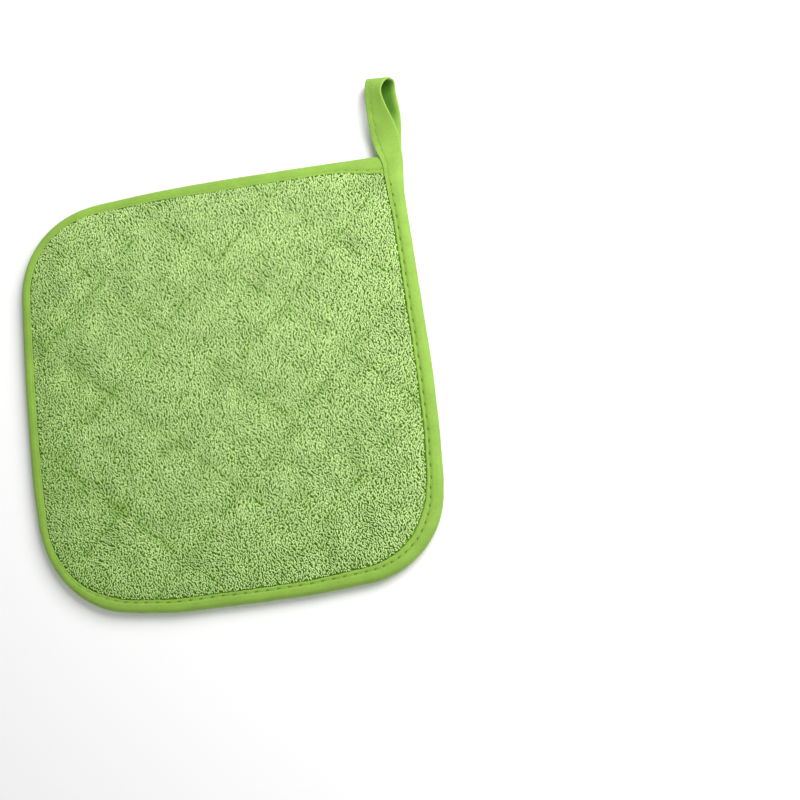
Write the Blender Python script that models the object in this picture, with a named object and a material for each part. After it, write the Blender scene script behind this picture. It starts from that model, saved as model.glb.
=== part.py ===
"""A quilted square pot holder with a terry face, a silver back, a bound edge and a hanging loop.

It lies flat on its silver back, with the terry face up. X runs along its top and bottom edges, Y runs along
its right edge towards the square corner with the loop, and +Z is up. The origin is on the surface that it
rests on, at the middle of the whole outline, loop included. Lengths are in metres and angles in degrees.
"""

from math import cos, pi, radians, sin

import bmesh
import bpy
from mathutils import Vector

# The pad's outline, to the outer fold of the tape. The fourth corner, top right, is square.
PAD_WIDTH = 0.1710
PAD_HEIGHT = 0.1780
TOP_LEFT_RADIUS = 0.0400
BOTTOM_LEFT_RADIUS = 0.0440
BOTTOM_RIGHT_RADIUS = 0.0380
TOP_BOW = 0.0017  # how far each side bulges out at its middle
LEFT_BOW = 0.0010
BOTTOM_BOW = 0.0019
RIGHT_BOW = 0.0012
SIDE_STOPS = (0.16, 0.33, 0.5, 0.67, 0.84, 1.0)  # shares of a side
TOP_SIDE_STOPS = (0.08, 0.16, 0.24, 0.38, 0.54, 0.7, 0.85, 1.0)
RIGHT_SIDE_STOPS = (0.15, 0.3, 0.46, 0.62, 0.76, 0.86, 0.94, 1.0)
STEPS_PER_CORNER = 9

# Heights above the surface.
PAD_THICKNESS = 0.0076  # to the tips of the pile, at the middle of a puff
TERRY_TROUGH_DEPTH = 0.0019
SILVER_CHANNEL_RISE = 0.0014
BOUND_THICKNESS = 0.0060
PANEL_PARTING = 0.0030  # top of the silver panel; the terry panel starts a gap above it
GAP = 0.0003

# The quilting: two families of parallel sewn lines.
FALLING_ANGLE = -43.0
FALLING_SPACING = 0.0360
FALLING_OFFSET = 0.0050  # of the line that passes nearest the pad's centre
RISING_ANGLE = 44.5
RISING_SPACING = 0.0352
RISING_OFFSET = 0.0010
LINES_EACH_SIDE = 4
CELL_STOPS = (0.0, 0.09, 0.20, 0.35, 0.5, 0.65, 0.80, 0.91)  # grid lines across one diamond
PUFF_FIRMNESS = 3  # how steeply a puff rises from its sewn lines
PUFF_FLAT_SHARE = 1.15  # over 1, the middle of each silver puff is flat
EDGE_SLOPE_WIDTH = 0.0110  # the pad thins towards the tape over this width
SILVER_RIM_SHARE = 0.5  # of the channels' rise, at the tape

# The binding tape.
TAPE_WALL = 0.0010
BACK_WIDTH = 0.0073
FOLD_REACH = 0.0024  # how far in from the outline the fold stays round
INNER_FOLD_REACH = 0.0009
OUTER_FOLD_ANGLES = (90, 55, 25, 0, -25, -55, -90)
INNER_FOLD_ANGLES = (-90, -40, 0, 40, 90)
STITCH_INSET = 0.0017  # from the tape's inner edge to its line of sewing, less on a narrow stretch
STITCH_INSET_SHARE = 0.35
STITCH_DIP = 0.0003
TUCK_INSET = 0.0023  # from the outline to the panels' edges, inside the fold
# Its width on the face. A place counts the outline's sides and corners from the square corner, leftwards.
FRONT_WIDTHS = (
    # (place, width)
    (0.00, 0.0080),  # top side, under the foot of the loop
    (0.08, 0.0074),
    (0.16, 0.0056),
    (0.24, 0.0049),
    (0.52, 0.0043),
    (0.85, 0.0034),
    (1.50, 0.0031),  # top left corner
    (2.50, 0.0033),  # left side
    (3.50, 0.0046),  # bottom left corner
    (4.50, 0.0056),  # bottom side
    (5.50, 0.0077),  # bottom right corner
    (6.20, 0.0062),  # right side
    (6.80, 0.0061),
    (6.90, 0.0067),
    (7.00, 0.0076),  # right side, where the tape leaves as the loop
)

# The loop is a folded tape that runs from the face side of the square corner, up, over and down again behind
# itself. Each row places the tape's two edges, measured from the pad's centre, in millimetres.
LOOP_THICKNESS = 0.0016
LOOP_STEPS_PER_ROW = 3
LOOP_EDGES = (
    # (left x, left y, left z, right x, right y, right z)
    (75.9, 89.4, 4.7, 86.4, 89.4, 4.7),  # front foot
    (75.0, 97.0, 5.2, 86.7, 97.2, 6.4),
    (74.6, 104.6, 6.5, 85.0, 104.0, 8.6),
    (74.7, 112.0, 7.2, 83.3, 110.0, 10.6),
    (75.1, 117.7, 7.2, 82.5, 114.6, 11.8),
    (75.6, 121.5, 6.4, 83.7, 118.1, 11.4),
    (76.2, 123.9, 4.7, 86.0, 121.1, 9.0),  # crown of the bend
    (76.9, 123.2, 2.4, 88.0, 121.2, 5.0),
    (77.3, 118.8, 1.1, 87.9, 117.4, 2.2),
    (77.5, 107.0, 1.1, 88.5, 106.9, 1.2),
    (76.9, 98.0, 1.1, 87.6, 98.0, 1.1),
    (76.2, 89.4, 1.2, 86.6, 89.4, 1.2),  # back foot
)

MM = 0.001
FALLING, RISING = radians(FALLING_ANGLE), radians(RISING_ANGLE)
ACROSS_FALLING = Vector((-sin(FALLING), cos(FALLING)))
ACROSS_RISING = Vector((-sin(RISING), cos(RISING)))


# ---- Outline ----


class Station:
    """A place on the outline, with its inward direction and the tape's width on the face there."""

    def __init__(self, point, inward, place):
        self.point = point
        self.inward = inward
        self.face_width = width_at(place)

    def inside(self, depth):
        """The point that lies depth inwards from the outline."""
        return self.point + self.inward * depth

    def inside_on_face(self, depth):
        """The same, on the face side of the pad."""
        return self.inside(depth)


class SquareCorner(Station):
    """The mitred corner, where the face side of the tape has one width on the top, another on the right."""

    def __init__(self, point):
        super().__init__(point, Vector((-1.0, -1.0)), 0.0)
        self.right_side_width = width_at(FRONT_WIDTHS[-1][0])

    def inside_on_face(self, depth):
        share = max(0.0, (depth - FOLD_REACH) / (self.face_width - FOLD_REACH))
        change = share * (self.right_side_width - self.face_width)
        return self.point - Vector((depth + change, depth))


def width_at(place):
    """The tape's width on the face, read between the rows of its table."""
    for (start, low), (end, high) in zip(FRONT_WIDTHS, FRONT_WIDTHS[1:]):
        if place <= end:
            return low + (high - low) * (place - start) / (end - start)
    return FRONT_WIDTHS[-1][1]


def side(start, end, bow, first_place, stops=SIDE_STOPS):
    """Stations along a gently bowed side, its start left out and its end left in."""
    run = end - start
    inward = Vector((-run.y, run.x)).normalized()
    for share in stops:
        bulge = 4 * bow * share * (1 - share)
        yield Station(start + run * share - inward * bulge, inward, first_place + share)


def corner(centre, radius, start_angle, first_place):
    """Stations round a quarter circle, its start left out and its end left in."""
    for step in range(1, STEPS_PER_CORNER + 1):
        share = step / STEPS_PER_CORNER
        angle = radians(start_angle + 90 * share)
        outward = Vector((cos(angle), sin(angle)))
        yield Station(centre + outward * radius, -outward, first_place + share)


def outline():
    """Stations once round the pad, anticlockwise from the square corner."""
    half_width, half_height = PAD_WIDTH / 2, PAD_HEIGHT / 2
    square = Vector((half_width, half_height))
    top_left = Vector((TOP_LEFT_RADIUS - half_width, half_height - TOP_LEFT_RADIUS))
    low_left = Vector((BOTTOM_LEFT_RADIUS - half_width, BOTTOM_LEFT_RADIUS - half_height))
    low_right = Vector((half_width - BOTTOM_RIGHT_RADIUS, BOTTOM_RIGHT_RADIUS - half_height))
    left_top = Vector((-half_width, top_left.y))
    left_foot = Vector((-half_width, low_left.y))
    bottom_left = Vector((low_left.x, -half_height))
    bottom_right = Vector((low_right.x, -half_height))
    right_foot = Vector((half_width, low_right.y))
    stations = [SquareCorner(square)]
    stations += side(square, Vector((top_left.x, half_height)), TOP_BOW, 0, TOP_SIDE_STOPS)
    stations += corner(top_left, TOP_LEFT_RADIUS, 90, 1)
    stations += side(left_top, left_foot, LEFT_BOW, 2)
    stations += corner(low_left, BOTTOM_LEFT_RADIUS, 180, 3)
    stations += side(bottom_left, bottom_right, BOTTOM_BOW, 4)
    stations += corner(low_right, BOTTOM_RIGHT_RADIUS, 270, 5)
    stations += side(right_foot, square, RIGHT_BOW, 6, RIGHT_SIDE_STOPS)
    return stations[:-1]


# ---- Meshes ----


def new_piece(name, mesh_maker, material):
    """An object in the part's collection, from a bmesh that is freed here."""
    mesh = bpy.data.meshes.new(name)
    bmesh.ops.recalc_face_normals(mesh_maker, faces=mesh_maker.faces)
    mesh_maker.to_mesh(mesh)
    mesh_maker.free()
    mesh.materials.append(material)
    piece = bpy.data.objects.new(name, mesh)
    collection("pot_holder").objects.link(piece)
    return piece


def collection(name):
    """The collection of that name, made at its first use."""
    found = bpy.data.collections.get(name)
    if found is None:
        found = bpy.data.collections.new(name)
        bpy.context.scene.collection.children.link(found)
    return found


def new_material(name, colour, roughness, metallic):
    material = bpy.data.materials.new(name)
    material.use_nodes = True
    shader = material.node_tree.nodes["Principled BSDF"]
    shader.inputs["Base Color"].default_value = (*colour, 1.0)
    shader.inputs["Roughness"].default_value = roughness
    shader.inputs["Metallic"].default_value = metallic
    return material


def prism(shape, points, low, high):
    """Adds an upright prism over a flat outline to a bmesh."""
    foot = shape.faces.new([shape.verts.new((point.x, point.y, low)) for point in points])
    raised = bmesh.ops.extrude_face_region(shape, geom=[foot])
    top_points = [part for part in raised["geom"] if isinstance(part, bmesh.types.BMVert)]
    bmesh.ops.translate(shape, verts=top_points, vec=(0, 0, high - low))


def cut_or_join(piece, other_shape, operation):
    """A Boolean with a shape that stays behind as a hidden guide."""
    mesh = bpy.data.meshes.new(piece.name + "_" + operation.lower())
    bmesh.ops.recalc_face_normals(other_shape, faces=other_shape.faces)
    other_shape.to_mesh(mesh)
    other_shape.free()
    other = bpy.data.objects.new(mesh.name, mesh)
    other.hide_render = True
    other.display_type = "WIRE"
    collection("cutters").objects.link(other)
    boolean = piece.modifiers.new(operation.lower(), "BOOLEAN")
    boolean.operation = operation
    boolean.solver = "EXACT"
    boolean.object = other


def loft(shape, sections, closed):
    """Skins a row of equal sections; an open row gets a cap at each end."""
    rings = [[shape.verts.new(point) for point in section] for section in sections]
    pairs = list(zip(rings, rings[1:]))
    if closed:
        pairs.append((rings[-1], rings[0]))
    else:
        shape.faces.new(rings[0])
        shape.faces.new(rings[-1])
    for ring, following in pairs:
        for index in range(len(ring)):
            after = (index + 1) % len(ring)
            shape.faces.new((ring[index], ring[after], following[after], following[index]))


# ---- Quilting ----


def crossing(falling_count, rising_count):
    """The point where the counted falling and rising lines meet; fractions lie between lines."""
    falling_reach = FALLING_OFFSET + FALLING_SPACING * falling_count
    rising_reach = RISING_OFFSET + RISING_SPACING * rising_count
    turn = ACROSS_FALLING.x * ACROSS_RISING.y - ACROSS_FALLING.y * ACROSS_RISING.x
    x = (falling_reach * ACROSS_RISING.y - rising_reach * ACROSS_FALLING.y) / turn
    y = (rising_reach * ACROSS_FALLING.x - falling_reach * ACROSS_RISING.x) / turn
    return Vector((x, y))


def puff(falling_count, rising_count):
    """How full the filling stands: 0 on a sewn line, 1 at the middle of a diamond."""
    fullness = sin(pi * (falling_count % 1)) * sin(pi * (rising_count % 1))
    return 1 - (1 - fullness) ** PUFF_FIRMNESS


def edge_distance(point, border):
    """The distance from a point inside to the nearest stretch of a closed border, or 0 outside it."""
    nearest = PAD_WIDTH
    crossings = 0
    for start, end in zip(border, border[1:] + border[:1]):
        run = end - start
        share = max(0.0, min(1.0, (point - start).dot(run) / run.length_squared))
        nearest = min(nearest, (point - start - run * share).length)
        if (start.y > point.y) != (end.y > point.y):
            crossings += point.x < start.x + run.x * (point.y - start.y) / run.y
    return nearest if crossings % 2 else 0.0


def terry_height(fullness, distance):
    """The pile's tips, lower along the sewing and towards the tape."""
    slope = min(1.0, distance / EDGE_SLOPE_WIDTH)
    rim = BOUND_THICKNESS + GAP
    full = PAD_THICKNESS - TERRY_TROUGH_DEPTH * (1 - fullness)
    return rim + (full - rim) * sin(slope * pi / 2)


def silver_height(fullness, distance):
    """The back's underside: flat on the surface at each puff, drawn up along the sewing."""
    drawn_up = 1 - min(1.0, fullness * PUFF_FLAT_SHARE)
    slope = min(1.0, distance / EDGE_SLOPE_WIDTH)
    return SILVER_CHANNEL_RISE * max(drawn_up, SILVER_RIM_SHARE * (1 - sin(slope * pi / 2)))


def quilted_block(height_of, border, level):
    """A block with one quilted face and one flat face at a level, larger than the pad."""
    stops = [line + stop for line in range(-LINES_EACH_SIDE, LINES_EACH_SIDE) for stop in CELL_STOPS]
    stops.append(LINES_EACH_SIDE)
    shape = bmesh.new()
    rows = []
    for falling_count in stops:
        row = []
        for rising_count in stops:
            place = crossing(falling_count, rising_count)
            height = height_of(puff(falling_count, rising_count), edge_distance(place, border))
            row.append(shape.verts.new((place.x, place.y, height)))
        rows.append(row)
    for row, following in zip(rows, rows[1:]):
        for index in range(len(row) - 1):
            shape.faces.new((row[index], row[index + 1], following[index + 1], following[index]))
    rim = [edge for edge in shape.edges if edge.is_boundary]
    walls = bmesh.ops.extrude_edge_only(shape, edges=rim)
    foot = [part for part in walls["geom"] if isinstance(part, bmesh.types.BMVert)]
    for vertex in foot:
        vertex.co.z = level
    foot_edges = [part for part in walls["geom"] if isinstance(part, bmesh.types.BMEdge)]
    bmesh.ops.contextual_create(shape, geom=foot_edges)
    return shape


def quilted_panel(name, material, height_of, border, slab_low, slab_high, stations):
    """A quilted face inside the tape, joined to a thin slab that reaches into the fold of the tape."""
    middle = (slab_low + slab_high) / 2
    piece = new_piece(name, quilted_block(height_of, border, middle), material)
    trim = bmesh.new()
    prism(trim, border, -PAD_THICKNESS, 2 * PAD_THICKNESS)
    cut_or_join(piece, trim, "INTERSECT")
    slab = bmesh.new()
    tucked = [station.inside(TUCK_INSET) for station in stations]
    prism(slab, tucked, slab_low, slab_high)
    cut_or_join(piece, slab, "UNION")
    return piece


def terry_panel(stations):
    material = new_material("green_terry", (0.30, 0.52, 0.13), 0.95, 0.0)
    low = PANEL_PARTING + GAP
    high = BOUND_THICKNESS - TAPE_WALL - GAP
    border = [station.inside_on_face(station.face_width + GAP) for station in stations]
    return quilted_panel("terry_panel", material, terry_height, border, low, high, stations)


def silver_panel(stations):
    material = new_material("silver_cloth", (0.52, 0.49, 0.50), 0.35, 0.7)
    low = TAPE_WALL + GAP
    high = PANEL_PARTING
    border = [station.inside(BACK_WIDTH + GAP) for station in stations]
    return quilted_panel("silver_panel", material, silver_height, border, low, high, stations)


# ---- Tape ----


def fold_curve(start, reach, half_height, angles):
    """Half a flat ellipse from the start depth inwards, as (depth from the outline, height)."""
    middle = BOUND_THICKNESS / 2
    turns = [radians(angle) for angle in angles]
    return [(start + reach * (1 - cos(turn)), middle + half_height * sin(turn)) for turn in turns]


def tape_section(face_width):
    """The folded tape's cut end as (depth from the outline, height): outer side first, then the inner one."""
    top = BOUND_THICKNESS
    under = top - TAPE_WALL
    seam = face_width - min(STITCH_INSET, STITCH_INSET_SHARE * face_width)
    reach = min(FOLD_REACH, seam - GAP)
    return [
        (face_width, top - STITCH_DIP / 2),
        (seam, top - STITCH_DIP),
        *fold_curve(0.0, reach, top / 2, OUTER_FOLD_ANGLES),
        (BACK_WIDTH, 0.0),
        (BACK_WIDTH, TAPE_WALL),
        *fold_curve(TAPE_WALL, INNER_FOLD_REACH, top / 2 - TAPE_WALL, INNER_FOLD_ANGLES),
        (seam, under),
        (face_width, under),
    ]


def edge_binding(stations):
    """The tape folded round the whole edge, mitred at the square corner."""
    shape = bmesh.new()
    sections = []
    for station in stations:
        section = []
        for depth, height in tape_section(station.face_width):
            on_face = height > BOUND_THICKNESS / 2
            place = station.inside_on_face(depth) if on_face else station.inside(depth)
            section.append((place.x, place.y, height))
        sections.append(section)
    loft(shape, sections, closed=True)
    return new_piece("edge_binding", shape, bpy.data.materials["green_tape"])


def smooth_between(before, start, end, after, share):
    """A point on the smooth curve that passes through start and end."""
    return 0.5 * (
        2 * start
        + (end - before) * share
        + (2 * before - 5 * start + 4 * end - after) * share**2
        + (3 * start - before - 3 * end + after) * share**3
    )


def smooth_row(rows):
    """Extra points between the given ones, on one smooth curve."""
    padded = [2 * rows[0] - rows[1], *rows, 2 * rows[-1] - rows[-2]]
    points = []
    for index in range(len(rows) - 1):
        for step in range(LOOP_STEPS_PER_ROW):
            points.append(smooth_between(*padded[index : index + 4], step / LOOP_STEPS_PER_ROW))
    return [*points, rows[-1]]


def hanging_loop():
    """The free end of the tape, folded flat, turned over at the top and sewn back behind itself."""
    left = smooth_row([Vector(row[:3]) * MM for row in LOOP_EDGES])
    right = smooth_row([Vector(row[3:]) * MM for row in LOOP_EDGES])
    middle = [(a + b) / 2 for a, b in zip(left, right)]
    ahead = [*middle[1:], 2 * middle[-1] - middle[-2]]
    behind = [2 * middle[0] - middle[1], *middle[:-1]]
    half = LOOP_THICKNESS / 2
    sections = []
    for index, (near, far) in enumerate(zip(left, right)):
        across = (far - near).normalized()
        outward = across.cross(ahead[index] - behind[index]).normalized()
        if index in (0, len(left) - 1):
            outward = Vector((0, 0, 1 if index == 0 else -1))
        ends = half * across
        sections.append(
            (
                near,
                near + ends + outward * half,
                far - ends + outward * half,
                far,
                far - ends - outward * half,
                near + ends - outward * half,
            )
        )
    shape = bmesh.new()
    loft(shape, sections, closed=False)
    return new_piece("hanging_loop", shape, bpy.data.materials["green_tape"])


# ---- Whole ----


def put_origin_at_middle(pieces):
    """Hangs the pieces on an empty at the pad's centre, so that the origin is under the outline's middle."""
    bpy.context.view_layer.update()
    graph = bpy.context.evaluated_depsgraph_get()
    corners = [Vector(spot) for piece in pieces for spot in piece.evaluated_get(graph).bound_box]
    middle_x = (min(spot.x for spot in corners) + max(spot.x for spot in corners)) / 2
    middle_y = (min(spot.y for spot in corners) + max(spot.y for spot in corners)) / 2
    pad_centre = bpy.data.objects.new("pad_centre", None)
    pad_centre.location = (-middle_x, -middle_y, 0)
    collection("pot_holder").objects.link(pad_centre)
    for thing in [*pieces, *collection("cutters").objects]:
        thing.parent = pad_centre


def main():
    for thing in list(bpy.data.objects):
        bpy.data.objects.remove(thing)
    new_material("green_tape", (0.38, 0.64, 0.10), 0.85, 0.0)
    stations = outline()
    pieces = [terry_panel(stations), silver_panel(stations), edge_binding(stations), hanging_loop()]
    put_origin_at_middle(pieces)


main()
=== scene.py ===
"""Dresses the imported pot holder: terry pile, silver back, folded tape, hanging loop and sewing.

It is laid out as a Blender add-on and run as a script. Each piece is worked out in the pad's own frame, which
has its origin under the pad's centre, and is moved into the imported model's frame as its mesh is made. Lengths
are in metres and angles in radians, except where a table or a name says otherwise.
"""

from functools import cache
from math import pi, radians

import bpy
import numpy as np
from mathutils import Matrix, Vector, kdtree, noise


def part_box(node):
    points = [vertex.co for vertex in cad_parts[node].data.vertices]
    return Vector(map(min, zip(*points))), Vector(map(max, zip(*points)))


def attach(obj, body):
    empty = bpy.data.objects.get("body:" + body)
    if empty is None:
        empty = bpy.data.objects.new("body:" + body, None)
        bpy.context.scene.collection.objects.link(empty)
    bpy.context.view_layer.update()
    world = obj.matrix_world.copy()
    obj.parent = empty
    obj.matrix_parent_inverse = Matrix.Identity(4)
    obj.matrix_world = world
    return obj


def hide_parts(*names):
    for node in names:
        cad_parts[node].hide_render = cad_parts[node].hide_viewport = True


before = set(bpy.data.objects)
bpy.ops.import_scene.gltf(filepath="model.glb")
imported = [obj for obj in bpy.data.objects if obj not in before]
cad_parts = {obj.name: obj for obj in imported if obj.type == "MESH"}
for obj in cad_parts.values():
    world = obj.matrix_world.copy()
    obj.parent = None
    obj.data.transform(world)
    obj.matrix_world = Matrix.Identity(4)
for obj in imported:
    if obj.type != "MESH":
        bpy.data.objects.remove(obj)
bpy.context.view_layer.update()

bl_info = {
    "name": "Pot Holder",
    "version": (1, 0, 0),
    "blender": (4, 5, 0),
    "location": "View3D > Sidebar > Pot Holder",
    "description": "A quilted terry pot holder with a silver back, a taped edge and a hanging loop",
    "category": "Object",
}

MM = 0.001

# The pad's outline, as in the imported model.
PAD_WIDTH = 0.1710
PAD_HEIGHT = 0.1780
TOP_LEFT_RADIUS = 0.0400
BOTTOM_LEFT_RADIUS = 0.0440
BOTTOM_RIGHT_RADIUS = 0.0380
TOP_BOW = 0.0017
LEFT_BOW = 0.0010
BOTTOM_BOW = 0.0019
RIGHT_BOW = 0.0012
CORNER_EASE = 0.004  # over which a side runs smoothly into its corner
MITRE_REACH = 0.0105  # how far along each side the square corner's mitre is felt
LOOP_SIDE_FROM = 6.3  # the place in EDGE after which the edge runs straight up beside the loop

# Heights above the surface.
PAD_THICKNESS = 0.0076
SILVER_CHANNEL_RISE = 0.0014
BOUND_THICKNESS = 0.0060
PANEL_PARTING = 0.0030
GAP = 0.0003

QUILTING = (
    # (angle, spacing, offset) of each family of parallel sewn lines
    (radians(-43.0), 0.0360, 0.0050),
    (radians(44.5), 0.0352, 0.0010),
)
PUFF_FIRMNESS = 3
PUFF_FLAT_SHARE = 1.15
EDGE_SLOPE_WIDTH = 0.0110
PILE_TROUGH_DEPTH = 0.0009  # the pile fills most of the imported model's troughs
PILE_TROUGH_HALF_WIDTH = 0.0050
SILVER_RIM_SHARE = 0.5

# The tape round the edge.
BACK_WIDTH = 0.0073
FOLD_REACH = 0.0024
STITCH_INSET = 0.0017
TUCK_INSET = 0.0023

# How the tape lies all the way round, in millimetres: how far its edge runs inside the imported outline, its
# width on the face, and how far its sewing is from its inner edge. The last column says how clearly the
# sewing shows. A place counts the sides and corners from the square corner, anticlockwise.
EDGE = (
    # (place, trim, width, inset, shows)
    (0.00, 0.3, 8.6, 1.9, 0.5),
    (0.10, 0.5, 8.1, 1.7, 0.5),
    (0.19, 0.6, 5.9, 1.3, 0.3),
    (0.25, 0.7, 5.5, 1.1, 0.1),
    (0.45, 0.8, 5.4, 1.0, 0.0),
    (0.62, 0.5, 5.7, 1.0, 0.0),
    (0.80, 0.4, 5.0, 1.0, 0.0),
    (1.10, 1.1, 4.5, 0.9, 0.0),
    (1.50, 0.9, 4.3, 0.9, 0.0),
    (1.90, 1.3, 4.4, 0.9, 0.0),
    (2.30, 1.0, 4.8, 0.9, 0.0),
    (2.60, 0.7, 4.7, 0.9, 0.0),
    (2.86, 0.3, 4.8, 0.9, 0.0),
    (3.15, 1.0, 4.0, 0.9, 0.1),
    (3.54, 0.2, 4.6, 1.0, 0.3),
    (3.72, 0.0, 5.6, 1.1, 0.5),
    (3.90, 0.5, 5.1, 1.0, 0.8),
    (4.13, -0.5, 5.4, 1.2, 0.9),
    (4.35, 0.1, 5.5, 1.2, 1.0),
    (4.60, 0.0, 5.7, 1.4, 1.0),
    (4.77, -0.4, 5.8, 1.3, 1.0),
    (5.10, -0.4, 6.5, 1.8, 1.0),
    (5.49, -0.2, 6.9, 2.4, 1.0),
    (5.70, 0.0, 7.5, 2.4, 1.0),
    (5.92, 0.5, 6.9, 1.8, 1.0),
    (6.14, -0.4, 6.2, 1.5, 1.0),
    (6.32, -0.5, 6.5, 1.6, 1.0),
    (6.50, 0.1, 6.4, 1.6, 1.0),
    (6.68, 0.4, 6.3, 1.6, 1.0),
    (6.80, 0.5, 6.3, 1.6, 1.0),
    (6.88, 0.4, 6.9, 1.8, 1.0),
    (6.93, -0.2, 7.7, 1.9, 0.6),
    (7.00, -1.3, 8.4, 2.0, 0.5),
)
STITCH_LENGTHS = (
    # (place, length in millimetres): the stitches are shorter round the corners
    (0.0, 4.6),
    (4.9, 4.6),
    (5.2, 4.0),
    (5.8, 4.1),
    (6.1, 5.1),
    (7.0, 5.1),
)
USUAL_STITCH = 4.6

# The loop's two edges from its front foot, over the crown and down behind, in millimetres from the pad's
# centre.
LOOP_EDGES = (
    # (left x, left y, left z, right x, right y, right z)
    (79.3, 64.0, 6.0, 85.7, 64.0, 4.5),  # on the tape of the right side
    (78.7, 72.0, 6.0, 85.8, 72.0, 4.5),
    (78.5, 79.0, 6.0, 86.3, 79.0, 5.0),
    (77.5, 84.5, 6.3, 86.9, 84.5, 5.9),  # over the tape of the top side
    (76.3, 89.6, 5.9, 87.0, 89.6, 5.8),
    (75.0, 97.0, 5.2, 86.7, 97.2, 6.4),
    (74.6, 104.6, 6.5, 84.9, 104.0, 8.6),
    (74.7, 112.0, 7.2, 82.9, 110.1, 10.6),
    (75.1, 117.7, 7.2, 82.1, 114.7, 11.8),
    (75.6, 121.5, 6.4, 83.2, 118.2, 11.4),
    (76.2, 123.9, 4.7, 85.7, 121.2, 9.0),  # crown of the bend
    (76.9, 123.2, 2.4, 87.9, 121.3, 5.0),
    (77.3, 118.8, 1.1, 87.9, 117.4, 2.2),
    (77.5, 107.0, 1.1, 88.5, 106.9, 1.2),
    (76.9, 98.0, 1.1, 87.6, 98.0, 1.1),
    (76.4, 90.0, 1.3, 86.6, 90.0, 1.3),
    (76.2, 86.5, 1.9, 86.0, 86.5, 1.9),  # sewn in, inside the fold of the tape
)

BINDING_LOW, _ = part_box("edge_binding")
PAD_CENTRE = np.array(
    [BINDING_LOW.x + LEFT_BOW + PAD_WIDTH / 2, BINDING_LOW.y + BOTTOM_BOW + PAD_HEIGHT / 2, 0.0]
)

# The camera, in the pad's frame, as fitted to the photograph's outline.
CAMERA_PLACE = (0.110831, -0.110806, 0.509101)
CAMERA_AHEAD = (-0.07543436, 0.18223553, -0.98035701)
CAMERA_UP = (0.14744616, 0.97438909, 0.16978080)
CAMERA_SENSOR = 36.0
CAMERA_LENS = 56.34


# ---- What a user would change ----


def length(name, default, description):
    return bpy.props.FloatProperty(
        name=name, description=description, default=default, unit="LENGTH", precision=5
    )


def colour(name, default, description):
    return bpy.props.FloatVectorProperty(
        name=name, description=description, default=default, size=3, subtype="COLOR", min=0, max=1
    )


class PotHolderSizes(bpy.types.PropertyGroup):
    loop_pitch: length("Loop Pitch", 0.00085, "Distance between neighbouring loops of the terry pile")
    loop_height: length("Loop Height", 0.0018, "How far a loop of the pile stands above its ground cloth")
    yarn_radius: length("Yarn Radius", 0.00030, "Radius of the yarn of the terry pile")
    tape_stitch: length("Tape Stitch", 0.0046, "Length of a stitch along the tape")
    quilting_stitch: length("Quilting Stitch", 0.0042, "Length of a stitch along the quilting lines")
    thread_radius: length("Thread Radius", 0.00017, "Radius of the sewing thread")
    tape_groove: length("Tape Groove", 0.0005, "How deep the sewing draws the tape in")
    wrinkle_depth: length("Wrinkle Depth", 0.00045, "How deep the silver cloth creases along its sewing")


class PotHolderColours(bpy.types.PropertyGroup):
    tape: colour("Tape", (0.228, 0.405, 0.053), "Lime green of the woven tape")
    tape_thread: colour("Tape Thread", (0.230, 0.420, 0.050), "Thread that sews the tape")
    pile_tip: colour("Pile Tips", (0.552, 0.755, 0.282), "Terry yarn at the top of its loops")
    # Pile Roots is painted shade: a deeper green than the yarn's own, for the shade down among the loops.
    pile_root_shade: colour("Pile Roots", (0.190, 0.425, 0.028), "Terry yarn deep in the pile")
    silver: colour("Silver", (0.640, 0.605, 0.615), "Metal coating of the back cloth")
    quilting_thread: colour("Quilting Thread", (0.720, 0.700, 0.610), "Pale thread of the quilting")
    floor: colour("Floor", (0.930, 0.930, 0.930), "Plain surface that the pot holder lies on")


# ---- Outline of the pad ----


def smooth_noise(places, seed):
    """Soft random values from about -1 to 1 at an array of 2-D places."""
    return np.array([noise.noise(Vector((x, y, seed))) for x, y in places])


def bump_curve(offset, half_width):
    """1 at an offset of nothing, falling away on both sides."""
    return np.exp(-((offset / half_width) ** 2))


def direction(angle):
    """The unit vector at an angle, or an array of them."""
    return np.stack([np.cos(angle), np.sin(angle)], -1)


def crossways(vectors):
    """The 2-D vectors turned left by a quarter turn."""
    return np.stack([-vectors[..., 1], vectors[..., 0]], -1)


def patches(points, *layers):
    """Soft noise over the points. A layer is how much it counts, the size of its patches and its seed."""
    return sum(amount * smooth_noise(points / size, seed) for amount, size, seed in layers)


def side(start, end, bow, first_place, spacing):
    """Points along a gently bowed side and their places, its end left out."""
    run = np.subtract(end, start)
    span = np.hypot(*run)
    share = np.arange(round(span / spacing)) / round(span / spacing)
    outward = -crossways(run) / span
    bulge = 4 * bow * share * (1 - share)
    return start + share[:, None] * run + bulge[:, None] * outward, first_place + share


def corner(centre, radius, start_angle, first_place, spacing):
    """Points round a quarter circle and their places, its end left out. start_angle is in degrees."""
    steps = round(radius * pi / 2 / spacing)
    share = np.arange(steps) / steps
    angle = radians(start_angle) + share * pi / 2
    return centre + radius * direction(angle), first_place + share


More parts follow.
